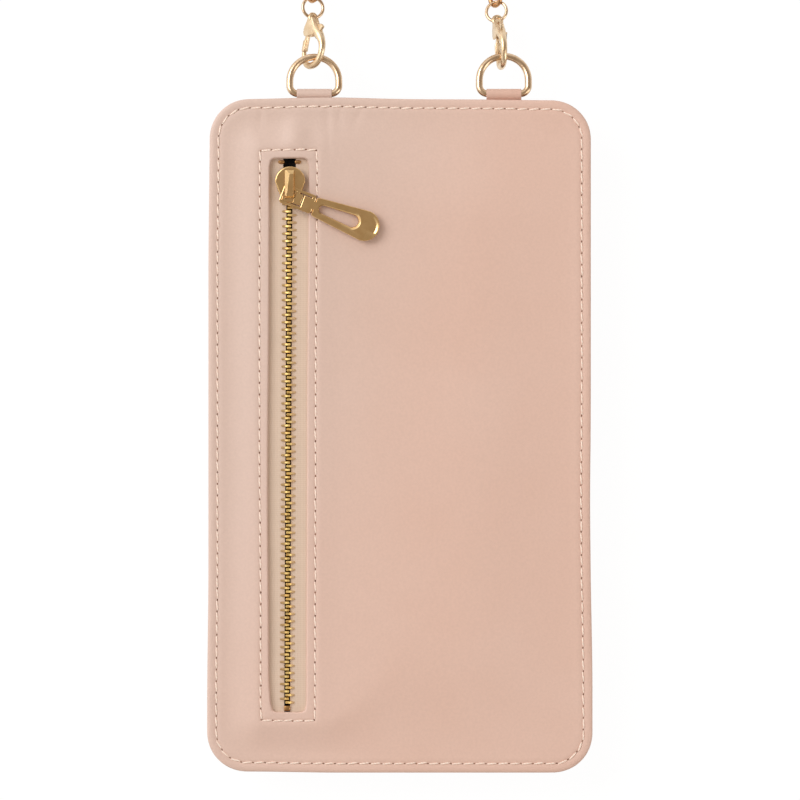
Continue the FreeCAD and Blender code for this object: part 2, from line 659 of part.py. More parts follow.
coil = []
inner_r = COIL_R - COIL_STEP * COIL_TURNS
for i in range(COIL_POINTS * COIL_TURNS + 1):
    turn = i / COIL_POINTS
    coil.append(coil_point(turn, COIL_R - COIL_STEP * turn, CHAIN_REST))
for i in range(1, COIL_POINTS // 2):
    f = 2 * i / COIL_POINTS
    climb = COIL_LAYER * f * f * (3 - 2 * f)
    coil.append(coil_point(COIL_TURNS + f / 2, inner_r - COIL_DIP * math.sin(math.pi * f), CHAIN_REST + climb))
for i in range(COIL_POINTS * COIL_TURNS + 1):
    turn = i / COIL_POINTS
    coil.append(coil_point(COIL_TURNS + 0.5 + turn, inner_r + COIL_STEP * turn, upper_z))
poles = lead_in + coil + lead_out
degree = 2
inner_knots = len(poles) - degree
route = Part.BSplineCurve()
mults = [degree + 1] + [1] * (inner_knots - 1) + [degree + 1]
route.buildFromPolesMultsKnots(poles, mults, list(range(inner_knots + 1)), False, degree)

# Joints of the chain: equal chords along the route, an even count from end to end
fine = route.discretize(Number=6000)
length = route.length()


def chain_joints(step):
    joints = [fine[0]]
    for k in range(1, len(fine)):
        reach = (fine[k] - joints[-1]).Length
        if reach >= step:
            before = (fine[k - 1] - joints[-1]).Length
            f = (step - before) / (reach - before)
            joints.append(fine[k - 1] + (fine[k] - fine[k - 1]) * f)
    left_over = (fine[-1] - joints[-1]).Length
    return joints, left_over


count = 2 * round(length / pitch / 2)
low = length / count * 0.97
high = length / count * 1.01
for i in range(40):
    step = (low + high) / 2
    joints, left_over = chain_joints(step)
    if len(joints) - 1 >= count:
        low = step
    else:
        high = step
joints, left_over = chain_joints(low)
joints = joints[:count + 1]
joints[-1] = fine[-1]
lead_length = sum((b - a).Length for a, b in zip(lead_in, lead_in[1:]))
lead_links = int(lead_length / low)
left_links = []
coil_links = []
right_links = []
for i in range(count):
    a = joints[i]
    b = joints[i + 1]
    t = (b - a).normalize()
    across = t.cross(Z_AXIS).normalize()
    up = across.cross(t)
    roll = math.pi / 4
    if i % 2:
        roll = -math.pi / 4
    q = across * math.cos(roll) + up * math.sin(roll)
    turn = FreeCAD.Rotation(t, q, t.cross(q), "XYZ")
    one = chain_link.copy()
    one.Placement = FreeCAD.Placement((a + b) * 0.5, turn)
    if i < lead_links:
        left_links.append(one)
    elif i < count - lead_links:
        coil_links.append(one)
    else:
        right_links.append(one)
chain_left_run = Part.makeCompound(left_links)
chain_coil = Part.makeCompound(coil_links)
chain_right_run = Part.makeCompound(right_links)

# Ties: two bands round the bundle, which also carry it on the surface
chain_half = link_r * math.sqrt(0.5) + CHAIN_WIRE / 2
band_in = inner_r - COIL_DIP - chain_half - TIE_ROOM
band_out = COIL_R + chain_half + TIE_ROOM
band_top = upper_z + chain_half + 0.15
band_low = TIE_LOW + TIE_T


def tie(sign):
    ends = sorted((coil_y + sign * band_in, coil_y + sign * band_out))
    x0 = coil_x - TIE_W / 2
    x1 = coil_x + TIE_W / 2
    shell = block(x0, x1, ends[0] - TIE_T, ends[1] + TIE_T, TIE_LOW, band_top + TIE_T)
    return shell.cut(block(x0 - 1, x1 + 1, ends[0], ends[1], band_low, band_top))


coil_ties = Part.makeCompound([tie(-1), tie(1)])

nodes = {
    "front_panel": front_panel,
    "centre_panel": centre_panel,
    "back_panel": back_panel,
    "zip_pocket_lining": zip_pocket_lining,
    "phone_pocket_lining": phone_pocket_lining,
    "edge_stitches": edge_stitches,
    "window_stitches": window_stitches,
    "zip_tape_left": zip_tape_left,
    "zip_tape_right": zip_tape_right,
    "zip_teeth_left_lower": zip_teeth_left_lower,
    "zip_teeth_left_upper": zip_teeth_left_upper,
    "zip_teeth_right_lower": zip_teeth_right_lower,
    "zip_teeth_right_upper": zip_teeth_right_upper,
    "zip_stop_left": zip_stop_left,
    "zip_stop_right": zip_stop_right,
    "zip_bottom_stop": zip_bottom_stop,
    "slider_body": slider_body,
    "puller_link": puller_link,
    "puller_tab": puller_tab,
    "chain_left_run": chain_left_run,
    "chain_coil": chain_coil,
    "chain_right_run": chain_right_run,
    "coil_ties": coil_ties,
}
for name, x, clasp_turn, jump_turn in zip(("left", "right"), (left_x, right_x), CLASP_TURN, JUMP_TURN):
    nodes["strap_tab_" + name] = strap_tab(x)
    nodes["d_ring_" + name] = strap_place(d_ring, x, 0, 0)
    spin = clasp_turn - 90.0
    nodes["clasp_body_" + name] = strap_place(clasp_body, x, ring_top, spin)
    nodes["clasp_trigger_" + name] = strap_place(clasp_trigger, x, ring_top, spin)
    nodes["clasp_pin_" + name] = strap_place(clasp_pin, x, ring_top, spin)
    nodes["clasp_spring_" + name] = strap_place(clasp_spring, x, ring_top, spin)
    nodes["jump_ring_" + name] = strap_place(jump_ring, x, jump_v, jump_turn)

# Least gap between two turns of the coil, from points along the route
spots = route.discretize(Number=900)
spacing = length / 899
apart = int(40.0 / spacing)
least = 1e9
for i in range(0, len(spots), 3):
    for k in range(i + apart, len(spots), 2):
        least = min(least, (spots[i] - spots[k]).Length)
print("chain links", count, "pitch", round(low, 3), "length", round(length, 1))
print("least gap between turns", round(least - 2 * chain_half, 2))
print("teeth on each side", pairs, "stitches", len(edge_bars), len(window_stitches.Solids))
print("top of the front", round(z_top, 2), "bar of the rings", round(bar_y, 2), round(bar_z, 2))

os.makedirs("parts", exist_ok=True)
for name, shape in nodes.items():
    if not shape.isValid():
        print("not valid:", name)
    shape.exportStep("parts/" + name + ".step")
print("nodes", len(nodes))
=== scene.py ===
import math

import bmesh
import bpy
from mathutils import Matrix, Vector, noise


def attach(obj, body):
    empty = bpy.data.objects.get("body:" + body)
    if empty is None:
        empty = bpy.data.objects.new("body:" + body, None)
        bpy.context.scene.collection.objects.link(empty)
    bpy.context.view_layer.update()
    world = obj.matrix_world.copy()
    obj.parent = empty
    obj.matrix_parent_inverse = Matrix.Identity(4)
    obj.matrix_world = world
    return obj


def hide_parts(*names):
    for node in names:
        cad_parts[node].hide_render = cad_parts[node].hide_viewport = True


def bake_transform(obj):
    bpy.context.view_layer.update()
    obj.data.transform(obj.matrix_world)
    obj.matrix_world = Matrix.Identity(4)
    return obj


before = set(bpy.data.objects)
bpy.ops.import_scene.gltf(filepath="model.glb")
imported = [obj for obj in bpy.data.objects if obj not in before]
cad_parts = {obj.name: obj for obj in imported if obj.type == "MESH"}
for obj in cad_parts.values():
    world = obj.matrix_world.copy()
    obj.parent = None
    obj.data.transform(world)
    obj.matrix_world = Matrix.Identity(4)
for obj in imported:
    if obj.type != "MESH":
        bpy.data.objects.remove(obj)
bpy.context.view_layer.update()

# Studio: a pale table top with soft light from both sides, and a long lens straight above.
# The lens stands so far off that 800 pixels span 220 mm of the pouch's front.
MM = 0.001
VIEW_WIDTH = 220.0
VIEW_MIDDLE = (0.1, 9.7)
FRONT_LEVEL = 13.4
scene = bpy.context.scene
scene.view_settings.view_transform = "Standard"
long_lens = bpy.data.cameras.new("long_lens")
long_lens.lens = 330.0
long_lens.sensor_width = 36.0
long_lens.clip_end = 60.0
camera = bpy.data.objects.new("camera", long_lens)
camera_height = FRONT_LEVEL + VIEW_WIDTH * long_lens.lens / long_lens.sensor_width
camera.location = Vector((*VIEW_MIDDLE, camera_height)) * MM
scene.collection.objects.link(camera)
scene.camera = camera


def softbox(name, place, aim, size, watts):
    lamp = bpy.data.lights.new(name, "AREA")
    lamp.shape = "RECTANGLE"
    lamp.size = size[0]
    lamp.size_y = size[1]
    lamp.energy = watts
    box = bpy.data.objects.new(name, lamp)
    box.location = place
    box.rotation_mode = "QUATERNION"
    box.rotation_quaternion = (Vector(aim) - Vector(place)).to_track_quat("-Z", "Y")
    scene.collection.objects.link(box)


POUCH_MIDDLE = (0.0, 0.01, 0.01)
softbox("key_light", (-0.95, 0.62, 1.0), POUCH_MIDDLE, (0.9, 0.9), 12.2)
softbox("side_light", (1.05, -0.30, 0.75), POUCH_MIDDLE, (0.5, 1.2), 4.2)
softbox("low_light", (-0.1, -1.2, 0.7), POUCH_MIDDLE, (1.2, 0.4), 0.7)


def ranged(tree, value, start, stop, low=0.0, high=1.0, smooth=False):
    made = tree.nodes.new("ShaderNodeMapRange")
    if smooth:
        made.interpolation_type = "SMOOTHSTEP"
    made.inputs["From Min"].default_value = start
    made.inputs["From Max"].default_value = stop
    made.inputs["To Min"].default_value = low
    made.inputs["To Max"].default_value = high
    tree.links.new(value, made.inputs["Value"])
    return made.outputs["Result"]


def measured_along(tree, where, way):
    made = tree.nodes.new("ShaderNodeVectorMath")
    made.operation = "DOT_PRODUCT"
    made.inputs[1].default_value = way
    tree.links.new(where, made.inputs[0])
    return made.outputs["Value"]


def reckoned(tree, operation, *values):
    made = tree.nodes.new("ShaderNodeMath")
    made.operation = operation
    for socket, value in zip(made.inputs, values):
        if isinstance(value, float):
            socket.default_value = value
        else:
            tree.links.new(value, socket)
    return made.outputs[0]


def tinted(tree, share, first, second):
    made = tree.nodes.new("ShaderNodeMix")
    made.data_type = "RGBA"
    tree.links.new(share, made.inputs[0])
    for socket, colour in ((made.inputs[6], first), (made.inputs[7], second)):
        if isinstance(colour, tuple):
            socket.default_value = colour
        else:
            tree.links.new(colour, socket)
    return made.outputs[2]


SKY_LEAN = (0.5, -0.3, 0.81)
SKY_SPAN = (-0.35, 0.75)
SKY_STRENGTH = (1.15, 0.40)
SKY_PALE = (1.0, 0.99, 0.98, 1.0)
SKY_WARM = (1.0, 0.87, 0.73, 1.0)
WARM_SPAN = (0.2, 0.75)
studio = bpy.data.worlds.new("studio")
scene.world = studio
studio.use_nodes = True
sky = studio.node_tree
background = sky.nodes["Background"]
sky_way = sky.nodes.new("ShaderNodeTexCoord")
sky_height = measured_along(sky, sky_way.outputs["Generated"], SKY_LEAN)
sky_strength = ranged(sky, sky_height, *SKY_SPAN, *SKY_STRENGTH, smooth=True)
sky.links.new(sky_strength, background.inputs["Strength"])
sky_colour = tinted(sky, ranged(sky, sky_height, *WARM_SPAN), SKY_PALE, SKY_WARM)
sky.links.new(sky_colour, background.inputs["Color"])

TABLE_HALF = 9.0
TABLE_DROP = 0.00015
TABLE_COLOUR = (0.72, 0.70, 0.68, 1.0)
TABLE_GLOW = 0.91
GLOW_STRENGTH = 1.05
table_finish = bpy.data.materials.new("pale_table")
table_finish.use_nodes = True
tree = table_finish.node_tree
tree.nodes.remove(tree.nodes["Principled BSDF"])
matt = tree.nodes.new("ShaderNodeBsdfDiffuse")
matt.inputs["Color"].default_value = TABLE_COLOUR
glow = tree.nodes.new("ShaderNodeEmission")
glow.inputs["Color"].default_value = (1.0, 1.0, 1.0, 1.0)
glow.inputs["Strength"].default_value = GLOW_STRENGTH
rays = tree.nodes.new("ShaderNodeLightPath")
seen = rays.outputs["Is Camera Ray"]
for kind in ("Is Glossy Ray", "Is Transmission Ray"):
    seen = reckoned(tree, "MAXIMUM", seen, rays.outputs[kind])
both = tree.nodes.new("ShaderNodeMixShader")
tree.links.new(reckoned(tree, "MULTIPLY", seen, TABLE_GLOW), both.inputs["Fac"])
tree.links.new(matt.outputs[0], both.inputs[1])
tree.links.new(glow.outputs[0], both.inputs[2])
tree.links.new(both.outputs[0], tree.nodes["Material Output"].inputs["Surface"])
table_mesh = bpy.data.meshes.new("table_top")
bm = bmesh.new()
bmesh.ops.create_grid(bm, x_segments=1, y_segments=1, size=TABLE_HALF)
bmesh.ops.translate(bm, verts=bm.verts, vec=(0, 0, -TABLE_DROP))
bm.to_mesh(table_mesh)
bm.free()
table_mesh.materials.append(table_finish)
table_top = bpy.data.objects.new("table_top", table_mesh)
scene.collection.objects.link(table_top)

# Back panel: the soft tray for the phone, of blush leather 1 mm thick.
# It is cut as one sheet, pressed over a block, and left open below the rings.
HALF_W = 52.5
HALF_H = 92.5
CORNER_R = 10.8
FLANGE = 5.0
MOUTH_Y = 84.5
BACK_T = 1.0
BACK_LEVEL = 10.5
TRAY_WALL = 7.5
TRAY_STEPS = ((0.0, 1.0), (0.08, 0.76), (0.30, 0.33), (0.57, 0.10), (1.0, 0.0))
TRAY_SOFT = (-0.3, -0.15, 0.0, 0.15, 0.3)
WALL_EASE = (30, 60)
EDGE_STEPS = (0, 0.12, 0.35, 0.7, 1.2, 1.7, 2.1, 2.35, 2.5, 2.65, 2.9, 3.4, 4.2, 5.0)
WALL_STEPS = (5.2, 5.4, 5.65, 5.95, 6.4, 6.9, 7.5, 8.2, 9.1, 10.0, 11.2, 12.5)
MOUTH_STEPS = (3.0, 2.0, 1.2, 0.6, 0.25, 0.0)
TRAY_GRID = 3.5
TURNED_REACH = 0.6
TURNED_DROP = 0.35
SAG = 0.12
SAG_WAVE = 0.07
# Painted sheen: the leather is coloured greyer and less pink towards the left, in place of the key light's
# gloss there.
PAINTED_SHEEN_WAY = (1.0, -0.3, 0.0)
PAINTED_SHEEN_FROM = -55.0
PAINTED_SHEEN_TO = 15.0
PAINTED_SHEEN_MOST = 0.8
CLOUD_SPAN = (0.32, 0.68)


def srgb(red, green, blue):
    channels = []
    for value in (red, green, blue):
        part = value / 255
        channels.append(part / 12.92 if part <= 0.04045 else ((part + 0.055) / 1.055) ** 2.4)
    return (*channels, 1.0)


def new_finish(name, colour, roughness, metallic=0.0):
    finish = bpy.data.materials.new(name)
    finish.use_nodes = True
    surface = finish.node_tree.nodes["Principled BSDF"]
    surface.inputs["Base Color"].default_value = colour
    surface.inputs["Roughness"].default_value = roughness
    surface.inputs["Metallic"].default_value = metallic
    return finish, finish.node_tree, surface


def own_place(tree, stretch=(1, 1, 1), turn=(0, 0, 0)):
    where = tree.nodes.new("ShaderNodeTexCoord")
    mapping = tree.nodes.new("ShaderNodeMapping")
    mapping.inputs["Scale"].default_value = stretch
    mapping.inputs["Rotation"].default_value = turn
    tree.links.new(where.outputs["Object"], mapping.inputs["Vector"])
    return mapping.outputs["Vector"]


def cloud(tree, where, scale, detail, low=0.0, high=1.0):
    made = tree.nodes.new("ShaderNodeTexNoise")
    made.inputs["Scale"].default_value = scale
    made.inputs["Detail"].default_value = detail
    tree.links.new(where, made.inputs["Vector"])
    return ranged(tree, made.outputs["Fac"], *CLOUD_SPAN, low, high)


def relief(tree, surface, height, depth, strength, under=None):
    made = tree.nodes.new("ShaderNodeBump")
    made.inputs["Distance"].default_value = depth
    made.inputs["Strength"].default_value = strength
    tree.links.new(height, made.inputs["Height"])
    if under is not None:
        tree.links.new(under, made.inputs["Normal"])
    tree.links.new(made.outputs["Normal"], surface.inputs["Normal"])
    return made.outputs["Normal"]


def coat(tree, surface, colour, roughness):
    tree.links.new(colour, surface.inputs["Base Color"])
    tree.links.new(roughness, surface.inputs["Roughness"])


def leather_finish(name, pale, deep):
    finish, tree, surface = new_finish(name, pale, 0.46)
    where = own_place(tree)
    patched = tinted(tree, cloud(tree, where, 26.0, 3.0), pale, deep)
    # Painted sheen: towards the left the colour is mixed with a greyer, less pink tone, in place of the key
    # light's gloss.
    across = measured_along(tree, where, PAINTED_SHEEN_WAY)
    painted_sheen = ranged(tree, across, PAINTED_SHEEN_FROM * MM, PAINTED_SHEEN_TO * MM, PAINTED_SHEEN_MOST, 0.0, smooth=True)
    toned = tinted(tree, painted_sheen, patched, srgb(213, 189, 177))
    flecks = cloud(tree, where, 1400.0, 2.0)
    worn = tree.nodes.new("ShaderNodeHueSaturation")
    tree.links.new(ranged(tree, flecks, 0.0, 1.0, 0.975, 1.02), worn.inputs["Value"])
    tree.links.new(toned, worn.inputs["Color"])
    coat(tree, surface, worn.outputs["Color"], cloud(tree, where, 90.0, 2.0, 0.40, 0.52))
    surface.inputs["Specular IOR Level"].default_value = 0.38
    pores = tree.nodes.new("ShaderNodeTexVoronoi")
    pores.inputs["Scale"].default_value = 1500.0
    tree.links.new(where, pores.inputs["Vector"])
    grain = relief(tree, surface, pores.outputs["Distance"], 0.00003, 0.35)
    relief(tree, surface, cloud(tree, where, 240.0, 2.0), 0.00006, 0.35, grain)
    return finish


def smooth_step(t):
    t = min(max(t, 0.0), 1.0)
    return t * t * (3 - 2 * t)


def swell(distance, at, width):
    return math.exp(-((distance - at) / width) ** 2)


def rolled(distance, reach, drop):
    if distance >= reach:
        return 0.0
    t = 1 - max(distance, 0.0) / reach
    return drop * (1 - math.sqrt(1 - t * t))


def evenly(start, stop, step):
    count = max(1, round(abs(stop - start) / step))
    return [start + (stop - start) * i / count for i in range(1, count)]


def mirrored(lines):
    return [-place for place in reversed(lines)]


def both_ways(half, insets, step):
    near = [-half + inset for inset in insets]
    return near + evenly(near[-1], -near[-1], step) + mirrored(near)


def cut_sheet(lines_x, lines_y):
    bm = bmesh.new()
    across = len(lines_x) - 1
    along = len(lines_y) - 1
    bmesh.ops.create_grid(bm, x_segments=across, y_segments=along, size=1.0)
    for vert in bm.verts:
        column = round((vert.co.x + 1) / 2 * across)
        line = round((vert.co.y + 1) / 2 * along)
        vert.co = (lines_x[column], lines_y[line], 0)
    return bm


def fresh_verts(made, key="geom"):
    return [v for v in made[key] if isinstance(v, bmesh.types.BMVert)]


def second_face(bm):
    made = bmesh.ops.extrude_face_region(bm, geom=bm.faces[:], use_keep_orig=True)
    return set(fresh_verts(made))


def rounded(u, v):
    reach = max(u, v)
    turn = math.pi / 4 * min(u, v) / reach
    big = reach * math.cos(turn)
    small = reach * math.sin(turn)
    return (big, small) if u >= v else (small, big)


# The sewn sides stray from straight lines by about half a millimetre, as hand-turned leather does.
def soft_sides(x, y):
    right = 0.1 + 0.45 * smooth_step((-y - 35) / 35) - 0.2 * swell(y, -18, 16)
    left = 0.35 * smooth_step((y - 45) / 40) - 0.1 - 0.35 * smooth_step((-y - 35) / 40)
    head = 0.55 * swell(x, -20, 16) - 0.1 - 0.25 * smooth_step((x - 15) / 30)
    foot = -0.3 * smooth_step((x + 42) / 25)
    aside = (right if x > 0 else left) * smooth_step((abs(x) - 30) / 22)
    along = (head if y > 0 else foot) * smooth_step((abs(y) - 70) / 22)
    return x + aside, y + along


def on_outline(x, y):
    straight_x = HALF_W - CORNER_R
    straight_y = HALF_H - CORNER_R
    u = abs(x) - straight_x
    v = abs(y) - straight_y
    if u > 0 and v > 0:
        u, v = rounded(u, v)
        x = math.copysign(straight_x + u, x)
        y = math.copysign(straight_y + v, y)
    return soft_sides(x, y)


def make_piece(name, bm, finish, body, place=None, crease=None):
    if place is not None:
        bmesh.ops.transform(bm, matrix=place, verts=bm.verts)
    bmesh.ops.scale(bm, vec=(MM, MM, MM), verts=bm.verts)
    mesh = bpy.data.meshes.new(name)
    bm.to_mesh(mesh)
    bm.free()
    mesh.materials.append(finish)
    mesh.shade_smooth()
    if crease is not None:
        mesh.set_sharp_from_angle(angle=math.radians(crease))
    piece = bpy.data.objects.new(name, mesh)
    scene.collection.objects.link(piece)
    if body is not None:
        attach(piece, body)
    return piece


def tray_share(inset):
    t = min(max((inset - FLANGE) / TRAY_WALL, 0.0), 1.0)
    for (t0, s0), (t1, s1) in zip(TRAY_STEPS, TRAY_STEPS[1:]):
        if t <= t1:
            return s0 + (s1 - s0) * (t - t0) / (t1 - t0)
    return 0.0


def soft_tray_share(inset):
    return sum(tray_share(inset + shift) for shift in TRAY_SOFT) / len(TRAY_SOFT)


blush_leather = leather_finish("blush_leather", srgb(223, 190, 175), srgb(221, 186, 170))
foot_lines = [-HALF_H + inset for inset in EDGE_STEPS + WALL_STEPS]
mouth_lines = [MOUTH_Y - back for back in MOUTH_STEPS]
lines_y = foot_lines + evenly(foot_lines[-1], mouth_lines[0], TRAY_GRID) + mouth_lines
bm = cut_sheet(both_ways(HALF_W, EDGE_STEPS + WALL_STEPS, TRAY_GRID), lines_y)
inner = second_face(bm)
for vert in bm.verts:
    x, y, _ = vert.co
    inset = min(HALF_W - abs(x), y + HALF_H)
    up = soft_tray_share(inset)
    turned = rolled(MOUTH_Y - y, TURNED_REACH, TURNED_DROP) + rolled(inset, TURNED_REACH, TURNED_DROP)
    sag = SAG * noise.noise(Vector((x * SAG_WAVE, y * SAG_WAVE, 4.0))) * (1 - up) * up * 4
    if vert in inner:
        level = BACK_T + BACK_LEVEL * up - turned
        x = math.copysign(abs(x) - BACK_T * (1 - up) * smooth_step(abs(x) / WALL_EASE[0]), x)
        y = y + BACK_T * (1 - up) * smooth_step(-y / WALL_EASE[1])
    else:
        level = BACK_LEVEL * up + turned
    vert.co = (*on_outline(x, y), level + sag)
bmesh.ops.recalc_face_normals(bm, faces=bm.faces)
back_panel = make_piece("leather_back", bm, blush_leather, "pouch", crease=50)
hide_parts("back_panel")

# Phone pocket lining: a pale woven cloth, glued flat to the under side of the centre panel.
# It stops short of the tray's walls.
LINING_T = 0.3
LINING_INSET = 13.6
LINING_STEPS = (0.0, 0.3, 0.8, 1.6)
LINING_GRID = 4.0
LINING_ROLL = 0.3
RIPPLE = 0.05
RIPPLE_WAVE = 0.11
PHONE_LINING_LEVEL = 9.8


def waves(tree, where, pitch, distortion, detail_scale=1.0, way="X"):
    made = tree.nodes.new("ShaderNodeTexWave")
    made.bands_direction = way
    made.inputs["Scale"].default_value = 2 * math.pi / 20 / (pitch * MM)
    made.inputs["Distortion"].default_value = distortion
    made.inputs["Detail Scale"].default_value = detail_scale
    tree.links.new(where, made.inputs["Vector"])
    return made.outputs["Fac"]


def cloth_finish(name, pale, deep, thread):
    finish, tree, surface = new_finish(name, pale, 0.85)
    where = own_place(tree)
    turns = (0, math.pi / 2)
    warp, weft = [waves(tree, own_place(tree, turn=(0, 0, turn)), thread, 0.6, 2.0) for turn in turns]
    woven = reckoned(tree, "MULTIPLY", warp, weft)
    toned = tinted(tree, woven, deep, pale)
    faded = tinted(tree, cloud(tree, where, 60.0, 2.0, 0.0, 0.35), toned, deep)
    coat(tree, surface, faded, cloud(tree, where, 300.0, 2.0, 0.75, 0.95))
    surface.inputs["Sheen Weight"].default_value = 0.15
    relief(tree, surface, woven, 0.00008, 0.6)
    return finish


def lining_sheet(name, level, finish):
    lines_x = both_ways(HALF_W - LINING_INSET, LINING_STEPS, LINING_GRID)
    lines_y = both_ways(HALF_H - LINING_INSET, LINING_STEPS, LINING_GRID)
    bm = cut_sheet(lines_x, lines_y)
    upper = second_face(bm)
    for vert in bm.verts:
        x, y, _ = vert.co
        inset = min(HALF_W - abs(x), HALF_H - abs(y)) - LINING_INSET
        lift = rolled(inset, LINING_ROLL, LINING_T * 0.4)
        ripple = RIPPLE * noise.noise(Vector((x * RIPPLE_WAVE, y * RIPPLE_WAVE, level)))
        vert.co.z = level + (LINING_T - lift if vert in upper else lift) + ripple
    bmesh.ops.recalc_face_normals(bm, faces=bm.faces)
    return make_piece(name, bm, finish, "pouch", crease=50)


pale_cloth = cloth_finish("pale_cloth", srgb(226, 209, 196), srgb(203, 182, 168), 0.5)
phone_lining = lining_sheet("phone_pocket_cloth", PHONE_LINING_LEVEL, pale_cloth)
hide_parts("phone_pocket_lining")

# Centre panel: the leather wall between the two pockets, 0.8 mm thick.
# It is dished a little to leave room for the zip, and sewn in all round.
CENTRE_T = 0.8
CENTRE_LEVEL = 11.5
CENTRE_DISH = 1.4
CENTRE_SLOPE = 8.0
CENTRE_STEPS = EDGE_STEPS + (6.2, 7.6, 9.0, 10.0, 11.4, 13.0)
CENTRE_GRID = 4.0
bm = cut_sheet(both_ways(HALF_W, CENTRE_STEPS, CENTRE_GRID), both_ways(HALF_H, CENTRE_STEPS, CENTRE_GRID))
upper = second_face(bm)
for vert in bm.verts:
    x, y, _ = vert.co
    inset = min(HALF_W - abs(x), HALF_H - abs(y))
    edge = rolled(inset, TURNED_REACH, CENTRE_T * 0.4)
    level = CENTRE_LEVEL - CENTRE_DISH * smooth_step((inset - FLANGE) / CENTRE_SLOPE)
    level += CENTRE_T - edge if vert in upper else edge
    vert.co = (*on_outline(x, y), level)
bmesh.ops.recalc_face_normals(bm, faces=bm.faces)
centre_panel = make_piece("leather_centre", bm, blush_leather, "pouch", crease=50)
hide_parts("centre_panel")

# Zip pocket lining: a thin black cloth on top of the centre panel.
# It shows as the dark gap above the slider, between the two ends of the tape.
ZIP_LINING_LEVEL = 10.9
black_cloth = cloth_finish("black_cloth", srgb(30, 26, 25), srgb(16, 14, 14), 0.45)
zip_lining = lining_sheet("zip_pocket_cloth", ZIP_LINING_LEVEL, black_cloth)
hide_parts("zip_pocket_lining")

# Zip tapes: woven ribbed tape, one on each side, each made here as a lower and an upper half.
# The inner edge goes with the teeth and the outer edge is sewn under the front panel.
ZIP_X = -30.6
ZIP_LEVEL = 13.45
ZIP_LEAN = 0.0045
WINDOW_HALF_W = 5.1
WINDOW_HALF_L = 76.0
TAPE_T = 0.5
TAPE_LENGTH = 79.2
TAPE_EDGE = 0.8
TAPE_OUT = 8.6
TAPE_SPLAY = 1.75
TAPE_CORNER = 2.5
TAPE_GRID = 1.6
TAPE_HOLLOW = 0.10
HOLLOW_AT = 3.6
SPLAY_FROM = 66.85
SPLAY_TO = 70.35
TAPE_COLUMNS = (0.8, 1.0, 1.25, 1.65, 2.0, 2.5, 3.0, 3.5, 4.0, 4.5, 5.1, 6.0, 7.2, 8.6)
TOOTH_BACK = 2.0
RIB = 0.55
WARP = 0.8


def tape_finish():
    finish, tree, surface = new_finish("ribbed_tape", srgb(222, 199, 180), 0.8)
    where = own_place(tree)
    ribs = waves(tree, where, RIB, 0.8, 3.0, "Y")
    warp = waves(tree, where, WARP, 0.5)
    woven = reckoned(tree, "MULTIPLY_ADD", ribs, 0.65, reckoned(tree, "MULTIPLY", warp, 0.35))
    toned = tinted(tree, woven, srgb(215, 190, 169), srgb(224, 201, 182))
    rubbed = tinted(tree, cloud(tree, where, 130.0, 3.0, 0.0, 0.45), toned, srgb(212, 190, 170))
    coat(tree, surface, rubbed, cloud(tree, where, 500.0, 2.0, 0.7, 0.9))
    surface.inputs["Sheen Weight"].default_value = 0.12
    relief(tree, surface, woven, 0.00010, 0.2)
    return finish


def zip_lean(y):
    return ZIP_LEAN * y


ribbed_tape = tape_finish()
for side_name, side in (("left", -1), ("right", 1)):
    for part, y_from, y_to in (("lower", -TAPE_LENGTH, 0.0), ("upper", 0.0, TAPE_LENGTH)):
        bm = cut_sheet(TAPE_COLUMNS, [y_from] + evenly(y_from, y_to, TAPE_GRID) + [y_to])
        upper = second_face(bm)
        for vert in bm.verts:
            u, y, _ = vert.co
            spare = abs(y) - (TAPE_LENGTH - TAPE_CORNER)
            splayed = smooth_step((y - SPLAY_FROM) / (SPLAY_TO - SPLAY_FROM))
            inner_edge = TAPE_EDGE + (TAPE_SPLAY - TAPE_EDGE) * splayed
            outer_edge = TAPE_OUT - max(spare, 0.0)
            share_out = (u - TAPE_EDGE) / (TAPE_OUT - TAPE_EDGE)
            reach = inner_edge + (outer_edge - inner_edge) * share_out
            if y < SPLAY_FROM and spare < 0:
                reach = u
            level = ZIP_LEVEL + (TAPE_T / 2 if vert in upper else -TAPE_T / 2)
            level -= TAPE_HOLLOW * swell(u, HOLLOW_AT, 1.0)
            vert.co = (ZIP_X + zip_lean(y) + side * reach, y, level)
        bmesh.ops.recalc_face_normals(bm, faces=bm.faces)
        tape = make_piece(f"tape_{side_name}_{part}", bm, ribbed_tape, None, crease=50)
        start = Vector((ZIP_X + side * WINDOW_HALF_W, 0, ZIP_LEVEL)) * MM
        end = Vector((ZIP_X + side * TOOTH_BACK, 0, ZIP_LEVEL)) * MM
        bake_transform(tape)
        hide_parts(f"zip_tape_{side_name}")

# Zip teeth: stamped brass teeth that grip the tape's inner edge, gone a little dull.
# Each side has 69, half a pitch apart from those of the other side.
TOOTH_PITCH = 2.03
TOOTH_COUNT = 69
TOOTH_STATIONS = ((-0.5, 0.335, 1.05), (0.7, 0.335, 1.05), (1.0, 0.31, 0.82), (2.0, 0.26, 0.46))
TOOTH_BEVEL = 0.11
FIRST_TOOTH = -73.45
DULL_SPAN = (0.6 * MM, 1.1 * MM)
# Painted shade: over this distance the teeth's legs change from a darker colour on the left of the zip to a
# paler one on the right.
LEG_SHADE_SPAN = 1.0 * MM


def metal_finish(name, bright, dull, roughness, brushed=(1, 1, 1)):
    finish, tree, surface = new_finish(name, bright, roughness, 1.0)
    where = own_place(tree)
    tarnish = cloud(tree, where, 420.0, 3.0)
    smudge = cloud(tree, where, 160.0, 3.0, roughness * 0.75, roughness * 1.35)
    coat(tree, surface, tinted(tree, tarnish, bright, dull), smudge)
    strokes = cloud(tree, own_place(tree, brushed), 2600.0, 2.0)
    relief(tree, surface, strokes, 0.000012, 0.30)
    return finish


